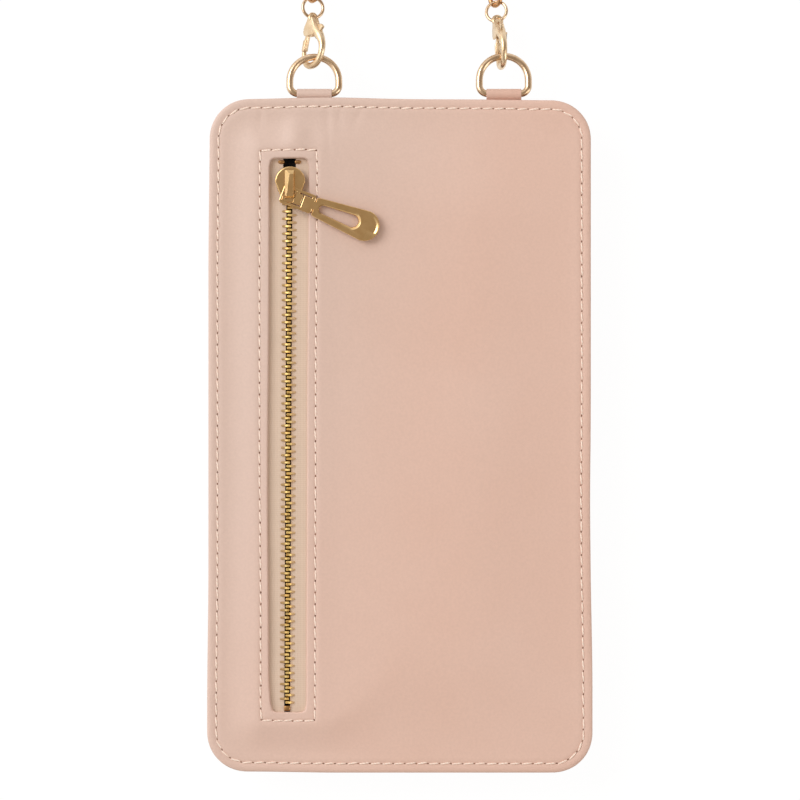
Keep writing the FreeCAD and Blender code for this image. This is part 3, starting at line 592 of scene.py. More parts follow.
def brass_finish():
    finish = metal_finish("old_brass", srgb(255, 230, 156), srgb(236, 194, 116), 0.40)
    tree = finish.node_tree
    surface = tree.nodes["Principled BSDF"]
    parts = tree.nodes.new("ShaderNodeSeparateXYZ")
    tree.links.new(own_place(tree), parts.inputs[0])
    aside = reckoned(tree, "SUBTRACT", parts.outputs["X"], ZIP_X * MM)
    out = reckoned(tree, "ABSOLUTE", aside)
    # Painted shade: the left legs are a darker brown and the right legs a paler tan, in place of light
    # falling from one side.
    legs_with_painted_shade = tinted(tree, ranged(tree, aside, -LEG_SHADE_SPAN, LEG_SHADE_SPAN), srgb(158, 124, 78), srgb(204, 170, 126))
    gold = surface.inputs["Base Color"].links[0].from_socket
    toned = tinted(tree, ranged(tree, out, *DULL_SPAN, 0.0, 0.9), gold, legs_with_painted_shade)
    tree.links.new(toned, surface.inputs["Base Color"])
    tree.links.new(ranged(tree, out, *DULL_SPAN, 1.0, 0.0), surface.inputs["Metallic"])
    return finish


def repeat(shape, places):
    model = bpy.data.meshes.new("model")
    shape.to_mesh(model)
    shape.free()
    bm = bmesh.new()
    for place in places:
        before = len(bm.verts)
        bm.from_mesh(model)
        bm.verts.ensure_lookup_table()
        bmesh.ops.transform(bm, matrix=place, verts=bm.verts[before:])
    bpy.data.meshes.remove(model)
    return bm


def soften(bm, edges, radius, steps):
    bmesh.ops.bevel(bm, geom=edges, offset=radius, segments=steps, profile=0.5,
                    affect="EDGES", material=-1)


def skin(bm, loops):
    for loop, following in zip(loops, loops[1:]):
        for i in range(len(loop)):
            bm.faces.new((loop[i], loop[i - 1], following[i - 1], following[i]))


def loft(sections):
    bm = bmesh.new()
    loops = [[bm.verts.new(spot) for spot in section] for section in sections]
    skin(bm, loops)
    bm.faces.new(loops[0])
    bm.faces.new(reversed(loops[-1]))
    bmesh.ops.recalc_face_normals(bm, faces=bm.faces)
    return bm


def sharp_edges(bm, angle):
    return [e for e in bm.edges if e.calc_face_angle(0) > angle]


def tooth_shape():
    shape = loft([((u, -w, -t), (u, w, -t), (u, w, t), (u, -w, t)) for u, w, t in TOOTH_STATIONS])
    soften(shape, sharp_edges(shape, 0.9), TOOTH_BEVEL, 1)
    return shape


old_brass = brass_finish()
for side_name, side in (("left", -1), ("right", 1)):
    offset = TOOTH_PITCH / 2 if side < 0 else 0.0
    spots = [FIRST_TOOTH + offset + i * TOOTH_PITCH for i in range(TOOTH_COUNT)]
    turn = Matrix.Rotation(math.pi if side < 0 else 0.0, 4, "Z")
    for part in ("lower", "upper"):
        here = [y for y in spots if (y < 0) == (part == "lower")]
        places = [Matrix.Translation((ZIP_X + zip_lean(y), y, ZIP_LEVEL)) @ turn for y in here]
        row = make_piece(f"teeth_{side_name}_{part}", repeat(tooth_shape(), places), old_brass,
                         f"zip_row_{side_name}_{part}", crease=40)
        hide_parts(f"zip_teeth_{side_name}_{part}")

# Zip stops: small brass clips pressed on the tape at both ends of the rows.
# The two at the top grip the splayed ends of the tape, and the lower one closes both rows.
STOP_Y = 75.15
STOP_SIZE = (1.7, 1.0, 1.5)
STOP_ASIDE = 2.25
STOP_SOFT = 0.3
FOOT_STOP_Y = -75.05
FOOT_STOP_SIZE = (1.7, 1.4, 1.7)
# Painted shade: the stops' brass is coloured darker and browner than the teeth's, in place of the shade of
# the leather lip over them.
stop_brass_painted_shade = metal_finish("stop_brass_painted_shade", srgb(196, 150, 98), srgb(156, 114, 72), 0.4)


def block(size, middle=(0, 0, 0)):
    shape = bmesh.new()
    bmesh.ops.create_cube(shape, size=1.0)
    bmesh.ops.scale(shape, vec=size, verts=shape.verts)
    bmesh.ops.translate(shape, verts=shape.verts, vec=middle)
    return shape


def zip_stop(name, size, aside, y):
    shape = block(size)
    soften(shape, shape.edges[:], STOP_SOFT, 3)
    place = Matrix.Translation((ZIP_X + zip_lean(y) + aside, y, ZIP_LEVEL))
    return make_piece(name, shape, stop_brass_painted_shade, "pouch", place)


for side_name, side in (("left", -1), ("right", 1)):
    stop = zip_stop(f"top_stop_{side_name}", STOP_SIZE, side * STOP_ASIDE, STOP_Y)
    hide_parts(f"zip_stop_{side_name}")
foot_stop = zip_stop("foot_stop", FOOT_STOP_SIZE, 0.0, FOOT_STOP_Y)
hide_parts("zip_bottom_stop")

# Slider: a die-cast body of two plates with a faceted bridge for the puller.
# It is plated in pale gold and polished.
SLIDER_HEAD = 73.9
SLIDER_HALF = 4.2
SLIDER_L = 10.1
SLIDER_ASIDE = 0.5
TAIL_HALF = 2.75
TAIL_FROM = 7.9
PLATE_LOW = 14.7
PLATE_TOP = 15.5
PLATE_SOFT = 0.34
UNDER_LOW = 11.5
UNDER_TOP = 12.2
UNDER_SOFT = 0.25
WALL_T = 0.4
WALL_FROM = (SLIDER_HALF - 0.2, -4.6)
WALL_TO = (3.3, -6.9)
TAPE_GAP = (13.0, 13.9)
POST_R = 0.6
POST_Y = -2.0
POST_STRETCH = (0.75, 1.1, 1)
BRIDGE_HALF = 1.33
BRIDGE_ASIDE = -0.12
BRIDGE_SOFT = 0.08
ARCH_LOW = 17.1
BRIDGE_STATIONS = (
    (-1.1, 17.25, 17.4, -1.25, 1.25), (-2.15, 17.15, 18.0, -0.05, 1.08),
    (-8.2, 17.2, 18.0, -0.95, 1.08), (-8.9, 16.7, 16.9, -1.15, 1.15))
BRIDGE_LEGS = ((-2.3, -1.15, 1.35), (-8.85, -7.7, 0.55))
LEG_LOW = 15.1
LEG_TOP = ARCH_LOW + 0.1
pale_gold = metal_finish("pale_gold", srgb(236, 199, 144), srgb(226, 186, 130), 0.20, (1, 0.15, 1))


def raise_face(bm, face, rise):
    made = bmesh.ops.extrude_face_region(bm, geom=[face], use_keep_orig=True)
    bmesh.ops.translate(bm, verts=fresh_verts(made), vec=(0, 0, rise))


def join_in(bm, other):
    model = bpy.data.meshes.new("joined")
    other.to_mesh(model)
    other.free()
    bm.from_mesh(model)
    bpy.data.meshes.remove(model)


def slider_plate(low, top, rim_level, rim_soft, rim_steps):
    bm = bmesh.new()
    first = bm.verts.new((SLIDER_HALF, -SLIDER_HALF, low))
    made = bmesh.ops.spin(bm, geom=[first], cent=(0, -SLIDER_HALF, low), axis=(0, 0, 1),
                          angle=math.pi, steps=22, use_merge=False)
    ring = fresh_verts(made, "geom_last")
    tail = ((-TAIL_HALF, TAIL_FROM), (-TAIL_HALF, SLIDER_L), (TAIL_HALF, SLIDER_L), (TAIL_HALF, TAIL_FROM))
    ring += [bm.verts.new((x, -y, low)) for x, y in tail]
    for pair in zip(ring, ring[1:] + [first]):
        bm.edges.new(pair)
    face = bmesh.ops.contextual_create(bm, geom=bm.edges[:])["faces"][0]
    raise_face(bm, face, top - low)
    rim = [e for e in bm.edges if all(abs(v.co.z - rim_level) < 1e-4 for v in e.verts)]
    soften(bm, rim, rim_soft, rim_steps)
    return bm


bm = slider_plate(PLATE_LOW, PLATE_TOP, PLATE_TOP, PLATE_SOFT, 3)
join_in(bm, slider_plate(UNDER_LOW, UNDER_TOP, UNDER_LOW, UNDER_SOFT, 2))
for side in (-1, 1):
    for wall_low, wall_top in ((TAPE_GAP[1], PLATE_LOW), (UNDER_TOP, TAPE_GAP[0])):
        wall = [bm.verts.new((side * (x - inward), y, wall_low)) for (x, y), inward in (
            (WALL_FROM, 0), (WALL_TO, 0), (WALL_TO, WALL_T), (WALL_FROM, WALL_T))]
        raise_face(bm, bm.faces.new(wall), wall_top - wall_low)
post = bmesh.new()
bmesh.ops.create_cone(post, cap_ends=True, segments=4, radius1=POST_R, radius2=POST_R,
                      depth=PLATE_LOW - UNDER_TOP)
bmesh.ops.scale(post, vec=POST_STRETCH, verts=post.verts)
bmesh.ops.translate(post, verts=post.verts, vec=(-SLIDER_ASIDE, POST_Y, (PLATE_LOW + UNDER_TOP) / 2))
join_in(bm, post)
bridge = loft([(
    (-BRIDGE_HALF, y, ARCH_LOW), (-BRIDGE_HALF, y, shoulder), (flat_from, y, top),
    (flat_to, y, top), (BRIDGE_HALF, y, shoulder), (BRIDGE_HALF, y, ARCH_LOW),
) for y, shoulder, top, flat_from, flat_to in BRIDGE_STATIONS])
soften(bridge, sharp_edges(bridge, 0.3), BRIDGE_SOFT, 2)
for y_from, y_to, half in BRIDGE_LEGS:
    join_in(bridge, block((2 * half, y_to - y_from, LEG_TOP - LEG_LOW),
                          (0, (y_from + y_to) / 2, (LEG_TOP + LEG_LOW) / 2)))
bmesh.ops.translate(bridge, verts=bridge.verts, vec=(BRIDGE_ASIDE, 0, 0))
join_in(bm, bridge)
bmesh.ops.recalc_face_normals(bm, faces=bm.faces)
slider = make_piece("slider", bm, pale_gold, "slider",
                    Matrix.Translation((ZIP_X + SLIDER_ASIDE, SLIDER_HEAD, 0)), crease=14)
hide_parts("slider_body")

# Puller link: a stamped plate hung by its window on the tail leg of the bridge.
# A slit frees a tongue in its far end, and the bar beyond it carries the tab.
SWING_Y = 65.6
PULLER_YAW = -21.0
LINK_LEVEL = 16.3
LINK_T = 0.9
LINK_ASIDE = 0.3
LINK_HALF = 2.65
LINK_ENDS = (-2.0, 7.4)
LINK_WINDOW = (-1.3, 1.7)
CROSS_SLIT = (3.9, 4.15)
UPPER_SLIT = (2.7, 6.4)
LOWER_SLIT = (1.7, 4.15)
SLIT_IN = 1.6
SLIT_OUT = 1.85
LINK_CORNER = 0.8
LINK_SOFT = 0.16
puller_place = Matrix.Translation((ZIP_X, SWING_Y, 0)) @ Matrix.Rotation(math.radians(PULLER_YAW), 4, "Z")
link_lines = sorted({*LINK_ENDS, *LINK_WINDOW, *CROSS_SLIT, *UPPER_SLIT, *LOWER_SLIT})
bm = cut_sheet(link_lines, (-LINK_HALF, -SLIT_OUT, -SLIT_IN, SLIT_IN, SLIT_OUT, LINK_HALF))
holes = []
for face in bm.faces:
    a, b, _ = face.calc_center_median()
    side_slit = UPPER_SLIT if b > 0 else LOWER_SLIT
    cut_through = any(start < a < stop for start, stop in (LINK_WINDOW, CROSS_SLIT))
    cut_beside = side_slit[0] < a < side_slit[1] and abs(b) > SLIT_IN
    if abs(b) < SLIT_OUT and (cut_through or cut_beside):
        holes.append(face)
bmesh.ops.delete(bm, geom=holes, context="FACES")
upper = second_face(bm)
for vert in bm.verts:
    vert.co.z = LINK_LEVEL + (LINK_T / 2 if vert in upper else -LINK_T / 2)
bmesh.ops.recalc_face_normals(bm, faces=bm.faces)
corner_spots = {(a, b) for a in LINK_ENDS for b in (-LINK_HALF, LINK_HALF)}
corners = []
for edge in bm.edges:
    spot, other = [(round(v.co.x, 2), round(v.co.y, 2)) for v in edge.verts]
    if spot == other and spot in corner_spots:
        corners.append(edge)
soften(bm, corners, LINK_CORNER, 4)
soften(bm, sharp_edges(bm, 0.8), LINK_SOFT, 2)
puller_link = make_piece("puller_link_plate", bm, pale_gold, "puller_link",
                         puller_place @ Matrix.Translation((0, LINK_ASIDE, 0)), crease=20)
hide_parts("puller_link")

# Puller tab: a thick cast tab with a long slot and a round end, folded over the link's bar.
# Its rims are rounded, and the end is thicker where the fingers hold it.
TAB_LOW = 15.3
TAB_T = 1.4
TAB_MIDDLE = TAB_LOW + TAB_T / 2
TAB_SHOULDER = 7.6
TAB_NECK = (9.0, 2.8)
TAB_END = (22.35, 4.25)
TAB_SIDES = 64
TAB_SOFT = 0.26
SLOT_NEAR = (10.2, 1.1)
SLOT_FAR = (18.8, 1.7)
RIM = 0.3
END_EXTRA = 0.3
DISH = 0.95
DISH_FALL = 0.32
DISH_LEAN = 0.4
SLOT_RIM = (0.2, 0.75)
SLOT_FALL = 0.45
END_SPAN = (17.0, 5.0)
DISH_SPAN = (23.2, 2.2)
SLOT_SPAN = (16.0, 4.0)
KNUCKLE_FROM = 6.2
KNUCKLE_TO = TAB_SHOULDER + 0.6
KNUCKLE_HALF = 1.05
KNUCKLE_ASIDE = 0.2
KNUCKLE_LOW = 15.35
KNUCKLE_TOP = 16.765
KNUCKLE_FOLD = 0.65
KNUCKLE_SOFT = 0.12


def capsule_loop(bm, near, far):
    made = bmesh.ops.create_circle(bm, cap_ends=False, segments=TAB_SIDES, radius=1.0)
    turn = Matrix.Rotation(math.pi / TAB_SIDES, 3, "Z")
    for vert in made["verts"]:
        spot = turn @ vert.co
        place, radius = far if spot.x > 0 else near
        vert.co = (place + radius * spot.x, radius * spot.y, TAB_LOW)
    return made["verts"]


def plan_spot(vert):
    return (round(vert.co.x, 3), round(vert.co.y, 3))


bm = bmesh.new()
outlines = []
for near_in, far_in in ((0.0, 0.0), (RIM, RIM), (2 * RIM, DISH)):
    outline = capsule_loop(bm, (TAB_NECK[0], TAB_NECK[1] - near_in), (TAB_END[0], TAB_END[1] - far_in))
    for vert in outline:
        vert.co.x = max(vert.co.x, TAB_SHOULDER + near_in)
    outlines.append(outline)
for near_out, far_out in (SLOT_RIM, (0.0, 0.0)):
    near = (SLOT_NEAR[0], SLOT_NEAR[1] + near_out)
    outlines.append(capsule_loop(bm, near, (SLOT_FAR[0], SLOT_FAR[1] + far_out)))
skin(bm, outlines)
dished, slot_edge = [{plan_spot(v) for v in outlines[i]} for i in (2, 4)]
for vert in second_face(bm):
    x, y = spot = plan_spot(vert)
    vert.co.z += TAB_T + END_EXTRA * smooth_step((x - END_SPAN[0]) / END_SPAN[1])
    if spot in dished:
        vert.co.z -= DISH_FALL * smooth_step((x + DISH_LEAN * y - DISH_SPAN[0]) / DISH_SPAN[1])
    if spot in slot_edge:
        vert.co.z -= SLOT_FALL * smooth_step((x - SLOT_SPAN[0]) / SLOT_SPAN[1])
bmesh.ops.recalc_face_normals(bm, faces=bm.faces)
flat_rims = [e for e in sharp_edges(bm, 0.8) if abs(e.verts[0].co.z - e.verts[1].co.z) < 0.5]
soften(bm, flat_rims, TAB_SOFT, 3)
knuckle = block((KNUCKLE_TO - KNUCKLE_FROM, 2 * KNUCKLE_HALF, KNUCKLE_TOP - KNUCKLE_LOW),
                ((KNUCKLE_FROM + KNUCKLE_TO) / 2, KNUCKLE_ASIDE, (KNUCKLE_LOW + KNUCKLE_TOP) / 2))
folded = [e for e in knuckle.edges if all(v.co.x < TAB_SHOULDER and v.co.z < TAB_MIDDLE for v in e.verts)]
soften(knuckle, folded, KNUCKLE_FOLD, 5)
under_edges = [e for e in sharp_edges(knuckle, 0.8) if max(v.co.z for v in e.verts) < TAB_LOW + TAB_T - 0.1]
soften(knuckle, under_edges, KNUCKLE_SOFT, 2)
join_in(bm, knuckle)
bmesh.ops.recalc_face_normals(bm, faces=bm.faces)
puller_tab = make_piece("puller_tab_cast", bm, pale_gold, "puller_tab", puller_place, crease=28)
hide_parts("puller_tab")

# Front panel: blush leather with turned edges, sewn down round the zip window.
# It swells softly between the seams, bulges above the zip and creases a little below the left tab.
FRONT_T = 1.1
FRONT_EDGE = 12.3
FRONT_CROWN = 1.4
CROWN_NEAR = 9.5
CROWN_FAR = 30.0
CROWN_SPAN = (-22, 30)
UNDER_ROLL = 0.3
UNDER_GAP = 0.02
WINDOW_R = 1.6
ROUND_LOSS = 0.8
ROUND_END = 2.6
SEAM_INSET = 2.5
SEAM_DIP = 0.17
EDGE_ROLL = (0.9, 0.55)
EDGE_RIDGES = ((0.06, 1.3, 0.6), (-SEAM_DIP, SEAM_INSET, 0.40), (0.05, 3.7, 0.8))
WINDOW_SEAM = 2.4
WINDOW_DIP = 0.20
WINDOW_GROOVE = 0.36
WINDOW_PAD = 0.16
PAD_FROM = 3.5
PAD_OVER = 6.0
WINDOW_RIDGE = 0.06
WIDER_LEFT = 0.35
LIP_ROLL = 0.5
LIP_DROP = 1.1
LIT_LIP = 0.18
WINDOW_STEPS = (
    0, 0.06, 0.16, 0.28, 0.4, 0.5, 0.6, 0.85, 1.2, 1.7, 2.0, 2.25, 2.4, 2.55, 2.8, 3.3, 4.2, 5.2)
FIELD_STEPS = EDGE_STEPS + (6.2, 8.0, 10.0)
FIELD_GRID = 1.9
WINDOW_GRID = (1.2, 2.2)
CREASED_TO = -8.0
CREASED_GRID = 0.6
CREASE_TOP = 88.0
CREASE_WIDTH = 0.9
CREASES = (
    (-38.2, 0.12, 6.0, 0.1), (-20.0, 0.18, 15.0, -0.05), (-16.4, 0.14, 7.0, 0.1), (-11.2, 0.14, 6.0, 0.5))
BULGE = 0.9
BULGE_AT = (-28.8, 82.6)
BULGE_WIDTH = (3.0, 4.0)
WAVER = 0.07
WAVER_WAVE = (0.055, 0.03)
window_x0 = ZIP_X - WINDOW_HALF_W
window_x1 = ZIP_X + WINDOW_HALF_W
seam_x0 = window_x0 - WINDOW_SEAM - WIDER_LEFT
seam_x1 = window_x1 + WINDOW_SEAM
seam_y = WINDOW_HALF_L + WINDOW_SEAM


def past_window(x, y):
    return max(window_x0 - x, x - window_x1, abs(y) - WINDOW_HALF_L)


def past_seam(x, y):
    return max(seam_x0 - x, x - seam_x1, abs(y) - seam_y)


def crown(x, y):
    end_reach = CROWN_NEAR + (CROWN_FAR - CROWN_NEAR) * smooth_step((x - CROWN_SPAN[0]) / CROWN_SPAN[1])
    from_left = smooth_step((HALF_W + x - FLANGE) / CROWN_NEAR)
    from_right = smooth_step((HALF_W - x - FLANGE) / CROWN_FAR)
    from_end = smooth_step((HALF_H - abs(y) - FLANGE) / end_reach)
    return FRONT_CROWN * from_left * from_right * from_end


def window_relief(x, y):
    w = past_window(x, y)
    on_left = smooth_step((ZIP_X - x) / WINDOW_HALF_W)
    at_head = smooth_step((y - WINDOW_HALF_L + 1) / 2)
    to_lip = smooth_step((WINDOW_SEAM - w) / (WINDOW_SEAM - LIP_ROLL))
    level = WINDOW_PAD * (1 - smooth_step((w - PAD_FROM) / PAD_OVER))
    level += LIT_LIP * to_lip * max(on_left, at_head)
    level += WINDOW_RIDGE * swell(w, PAD_FROM, 0.8) - WINDOW_DIP * swell(past_seam(x, y), 0.0, WINDOW_GROOVE)
    return level - rolled(w, LIP_ROLL, LIP_DROP)


def front_height(x, y):
    inset = min(HALF_W - abs(x), HALF_H - abs(y))
    level = FRONT_EDGE + FRONT_T + crown(x, y) - rolled(inset, *EDGE_ROLL) + window_relief(x, y)
    for rise, at, width in EDGE_RIDGES:
        level += rise * swell(inset, at, width)
    below = CREASE_TOP - y
    for crease_x, depth, reach, slant in CREASES:
        tug = smooth_step(1 - below / reach) * (1 - smooth_step(-below / 3))
        level -= depth * tug * swell(x, crease_x - slant * below, CREASE_WIDTH)
    level += BULGE * swell(x, BULGE_AT[0], BULGE_WIDTH[0]) * swell(y, BULGE_AT[1], BULGE_WIDTH[1])
    waver = WAVER * noise.noise(Vector((x * WAVER_WAVE[0], y * WAVER_WAVE[1], 1.7)))
    return level + waver * smooth_step((inset - 4) / 6)


def round_window(x, y):
    corner_x = WINDOW_HALF_W - WINDOW_R
    corner_y = WINDOW_HALF_L - WINDOW_R
    u = abs(x - ZIP_X) - corner_x
    v = abs(y) - corner_y
    past_corner = max(u, v) - WINDOW_R
    if u > 0 and v > 0 and past_corner < WINDOW_STEPS[-1]:
        round_u, round_v = rounded(u, v)
        keep = 1 - ROUND_LOSS * smooth_step(past_corner / WINDOW_SEAM)
        keep *= 1 - smooth_step((past_corner - WINDOW_SEAM) / ROUND_END)
        x = ZIP_X + math.copysign(corner_x + u + (round_u - u) * keep, x - ZIP_X)
        y = math.copysign(corner_y + v + (round_v - v) * keep, y)
    return x, y


# The window's left lip bows out in the middle and in at its foot, and the right one leans out at its head.
def on_front(x, y):
    x, y = round_window(x, y)
    w = past_window(x, y)
    if x < ZIP_X - 1:
        pinch = 0.5 * smooth_step((-y - 66) / 10)
        x += (pinch - 0.45 * swell(y, -14, 40)) * (1 - smooth_step(w / 3))
        x += 0.38 * smooth_step(-y / 60) * smooth_step(w / 2.4) * (1 - smooth_step((w - 3) / 8))
    elif x > ZIP_X + 1:
        drift = 0.5 * smooth_step(y / WINDOW_HALF_L) - 0.2 * smooth_step(-y / WINDOW_HALF_L)
        x += drift * (1 - smooth_step(w / 9))
    return on_outline(x, y)


left_edge = [-HALF_W + inset for inset in FIELD_STEPS]
right_edge = mirrored(left_edge)
foot_edge = [-HALF_H + inset for inset in FIELD_STEPS]
left_lip = [window_x0 - d - WIDER_LEFT * smooth_step(d / 2.0) for d in reversed(WINDOW_STEPS)]
right_lip = [window_x1 + d for d in WINDOW_STEPS]
foot_lip = [-WINDOW_HALF_L - d for d in reversed(WINDOW_STEPS)]
lines_x = left_edge + left_lip + evenly(window_x0, window_x1, WINDOW_GRID[0]) + right_lip
lines_x += evenly(right_lip[-1], CREASED_TO, CREASED_GRID) + [CREASED_TO]
lines_x += evenly(CREASED_TO, right_edge[0], FIELD_GRID) + right_edge
lines_y = foot_edge + foot_lip + evenly(-WINDOW_HALF_L, WINDOW_HALF_L, WINDOW_GRID[1])
lines_y += mirrored(foot_lip) + mirrored(foot_edge)
bm = cut_sheet(lines_x, lines_y)
cut_out = [f for f in bm.faces if past_window(*f.calc_center_median().xy) < 0]
bmesh.ops.delete(bm, geom=cut_out, context="FACES")
under = second_face(bm)
for vert in bm.verts:
    x, y, _ = vert.co
    inset = min(HALF_W - abs(x), HALF_H - abs(y))
    if vert in under:
        level = FRONT_EDGE + crown(x, y) + rolled(inset, TURNED_REACH, UNDER_ROLL) + UNDER_GAP
    else:
        level = front_height(x, y)
    vert.co = (*on_front(x, y), level)
bmesh.ops.recalc_face_normals(bm, faces=bm.faces)
front_panel = make_piece("leather_front", bm, blush_leather, "pouch", crease=60)
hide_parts("front_panel")

# Stitches: cream thread in lock stitch, 3.2 mm long, round the edge and round the window.
# Each stitch dips into a needle hole at both ends, and the shade in each hole is painted as a small dark
# brown dot.
STITCH_PITCH = 3.2
STITCH_SIZE = (1.45, 0.25, 0.25)
STITCH_SLANT = 6.0
WANDER = 0.16
WANDER_WAVE = 0.9
EDGE_WAVER = 0.05
MOUTH_CLEAR = 2.0
EDGE_LIFT = 0.10
WINDOW_LIFT = 0.08
HOLE_LIFT = 0.02
BACK_DROP = 0.02
# Sizes of the dark dots that paint the shade in the needle holes.
EDGE_HOLE = (0.32, 0.17, 0.12)
WINDOW_HOLE = (0.32, 0.24, 0.12)
GROOVE = FRONT_EDGE + FRONT_T - SEAM_DIP


def seam_walk(half_w, half_h, corner, pitch):
    sides = [half_w - corner, half_h - corner] * 2
    arc = math.pi / 2 * corner
    total = 2 * sum(sides) + 4 * arc
    count = 2 * round(total / pitch)
    spots = []
    for i in range(count):
        s = total * i / count
        side = 0
        while s > 2 * sides[side] + arc:
            s -= 2 * sides[side] + arc
            side += 1
        heading = side * math.pi / 2
        along = Vector((math.cos(heading), math.sin(heading), 0))
        out = Vector((math.sin(heading), -math.cos(heading), 0))
        reach = half_h if side % 2 == 0 else half_w
        if s <= 2 * sides[side]:
            spot = along * (s - sides[side]) + out * reach
        else:
            bend = (s - 2 * sides[side]) / corner
            middle = along * sides[side] + out * (reach - corner)
            spot = middle + along * corner * math.sin(bend) + out * corner * math.cos(bend)
            heading += bend
        spots.append((spot.x, spot.y, heading))
    return spots


def corner_walk(x0, x1, y0, y1, pitch):
    corners = [Vector(spot) for spot in ((x0, y0), (x1, y0), (x1, y1), (x0, y1))]
    spots = []
    for start, end in zip(corners, corners[1:] + corners[:1]):
        count = 2 * round((end - start).length / pitch)
        heading = math.atan2(end.y - start.y, end.x - start.x)
        for i in range(count):
            spot = start.lerp(end, i / count)
            spots.append((spot.x, spot.y, heading))
    return spots


def thread_finish():
    finish, tree, surface = new_finish("cream_thread", srgb(244, 218, 202), 0.6)
    where = own_place(tree)
    twist = waves(tree, where, 0.5, 1.0, way="DIAGONAL")
    ply = tinted(tree, twist, srgb(246, 219, 202), srgb(255, 240, 227))
    faded = tinted(tree, cloud(tree, where, 300.0, 2.0, 0.0, 0.4), ply, srgb(238, 209, 192))
    coat(tree, surface, faded, cloud(tree, where, 900.0, 2.0, 0.5, 0.7))
    surface.inputs["Sheen Weight"].default_value = 0.2
    relief(tree, surface, twist, 0.00008, 0.6)
    return finish


# Painted shade: the needle holes are dark brown dots, in place of the shade inside each hole.
def hole_shade_finish():
    finish, tree, surface = new_finish("needle_hole_shade", srgb(132, 94, 74), 0.9)
    where = own_place(tree)
    shade = cloud(tree, where, 700.0, 2.0)
    toned = tinted(tree, shade, srgb(112, 76, 58), srgb(156, 114, 92))
    coat(tree, surface, toned, cloud(tree, where, 900.0, 2.0, 0.8, 1.0))
    relief(tree, surface, shade, 0.00005, 0.5)
    return finish


def stitch_shape():
    shape = bmesh.new()
    bmesh.ops.create_uvsphere(shape, u_segments=6, v_segments=6, radius=1.0)
    bmesh.ops.rotate(shape, verts=shape.verts, matrix=Matrix.Rotation(math.pi / 2, 3, "Y"))
    bmesh.ops.scale(shape, vec=STITCH_SIZE, verts=shape.verts)
    return shape


def hole_shape(size):
    shape = bmesh.new()
    bmesh.ops.create_uvsphere(shape, u_segments=8, v_segments=4, radius=1.0)
    bmesh.ops.scale(shape, vec=size, verts=shape.verts)
    return shape


def sewn(x, y, heading, slant):
    wander = noise.noise(Vector((x * WANDER_WAVE, y * WANDER_WAVE, 3.0)))
    aside = Matrix.Translation((0, WANDER * wander, 0))
    slanted = Matrix.Rotation(math.radians(slant * (1 + wander)), 4, "Z")
    return Matrix.Rotation(heading, 4, "Z") @ aside @ slanted


def raised(spot, lift):
    return Matrix.Translation((spot.x, spot.y, spot.z + lift))


cream_thread = thread_finish()
needle_hole_shade = hole_shade_finish()
edge_thread = []
edge_hole_shade_spots = []
edge_walk = seam_walk(HALF_W - SEAM_INSET, HALF_H - SEAM_INSET, CORNER_R - SEAM_INSET, STITCH_PITCH)
for i, (x, y, heading) in enumerate(edge_walk):
    level = GROOVE + EDGE_WAVER * noise.noise(Vector((x, y, 0)))
    spot = Vector((*soft_sides(x, y), level))
    if i % 2:
        edge_hole_shade_spots.append(raised(spot, HOLE_LIFT) @ sewn(x, y, heading, 0))
        continue
    turned = sewn(x, y, heading, STITCH_SLANT)
    edge_thread.append(raised(spot, EDGE_LIFT) @ turned)
    if y < MOUTH_Y - MOUTH_CLEAR:
        edge_thread.append(Matrix.Translation((spot.x, spot.y, BACK_LEVEL - BACK_DROP)) @ turned)
edge_stitches = make_piece("edge_thread", repeat(stitch_shape(), edge_thread), cream_thread, "pouch")
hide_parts("edge_stitches")
edge_shade_dots = make_piece("edge_hole_shade_dots", repeat(hole_shape(EDGE_HOLE), edge_hole_shade_spots), needle_hole_shade, "pouch")
window_thread = []
window_hole_shade_spots = []
for i, (x, y, heading) in enumerate(corner_walk(seam_x0, seam_x1, -seam_y, seam_y, STITCH_PITCH)):
    spot = Vector((*on_front(x, y), front_height(x, y)))
    if i % 2:
        window_thread.append(raised(spot, WINDOW_LIFT) @ sewn(x, y, heading, STITCH_SLANT))
    else:
        window_hole_shade_spots.append(raised(spot, HOLE_LIFT) @ sewn(x, y, heading, 0))
window_stitches = make_piece("window_thread", repeat(stitch_shape(), window_thread), cream_thread, "pouch")
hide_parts("window_stitches")
window_shade_dots = make_piece("window_hole_shade_dots", repeat(hole_shape(WINDOW_HOLE), window_hole_shade_spots),
                         needle_hole_shade, "pouch")

# Strap tabs: a leather strip folded round the bar of each ring.
# Both tails are caught in the seam of the top edge, between the centre and back panels.
BAR_LEVEL = 11.0
BAR_Y = 94.0
LOOP_Y = 93.86
LOOP_IN = 1.13
STRIP_T = 0.38
STRIP_HALF = 4.8
STRIP_SOFT = 0.12
STRIP_COLUMNS = (0.25, 0.9, 2.2, 4.8, 7.4, 8.7, 9.35, 9.6)
TAIL_Y = 87.7
STRIP_PROFILE = ((0.5, 0.93), (1.0, 0.72), (1.5, 0.42), (2.1, 0.2), (4.0, 0.2), (LOOP_Y - TAIL_Y, 0.2))
RING_X = {"left": -23.5, "right": 28.7}
tab_leather = leather_finish("tab_leather", srgb(221, 183, 165), srgb(212, 170, 152))


def drawn_out(bm, edges, vec):
    made = bmesh.ops.extrude_edge_only(bm, edges=edges)
    fresh = fresh_verts(made)
    bmesh.ops.translate(bm, verts=fresh, vec=vec)
    return [e for e in made["geom"] if isinstance(e, bmesh.types.BMEdge) and
            e.verts[0] in fresh and e.verts[1] in fresh]


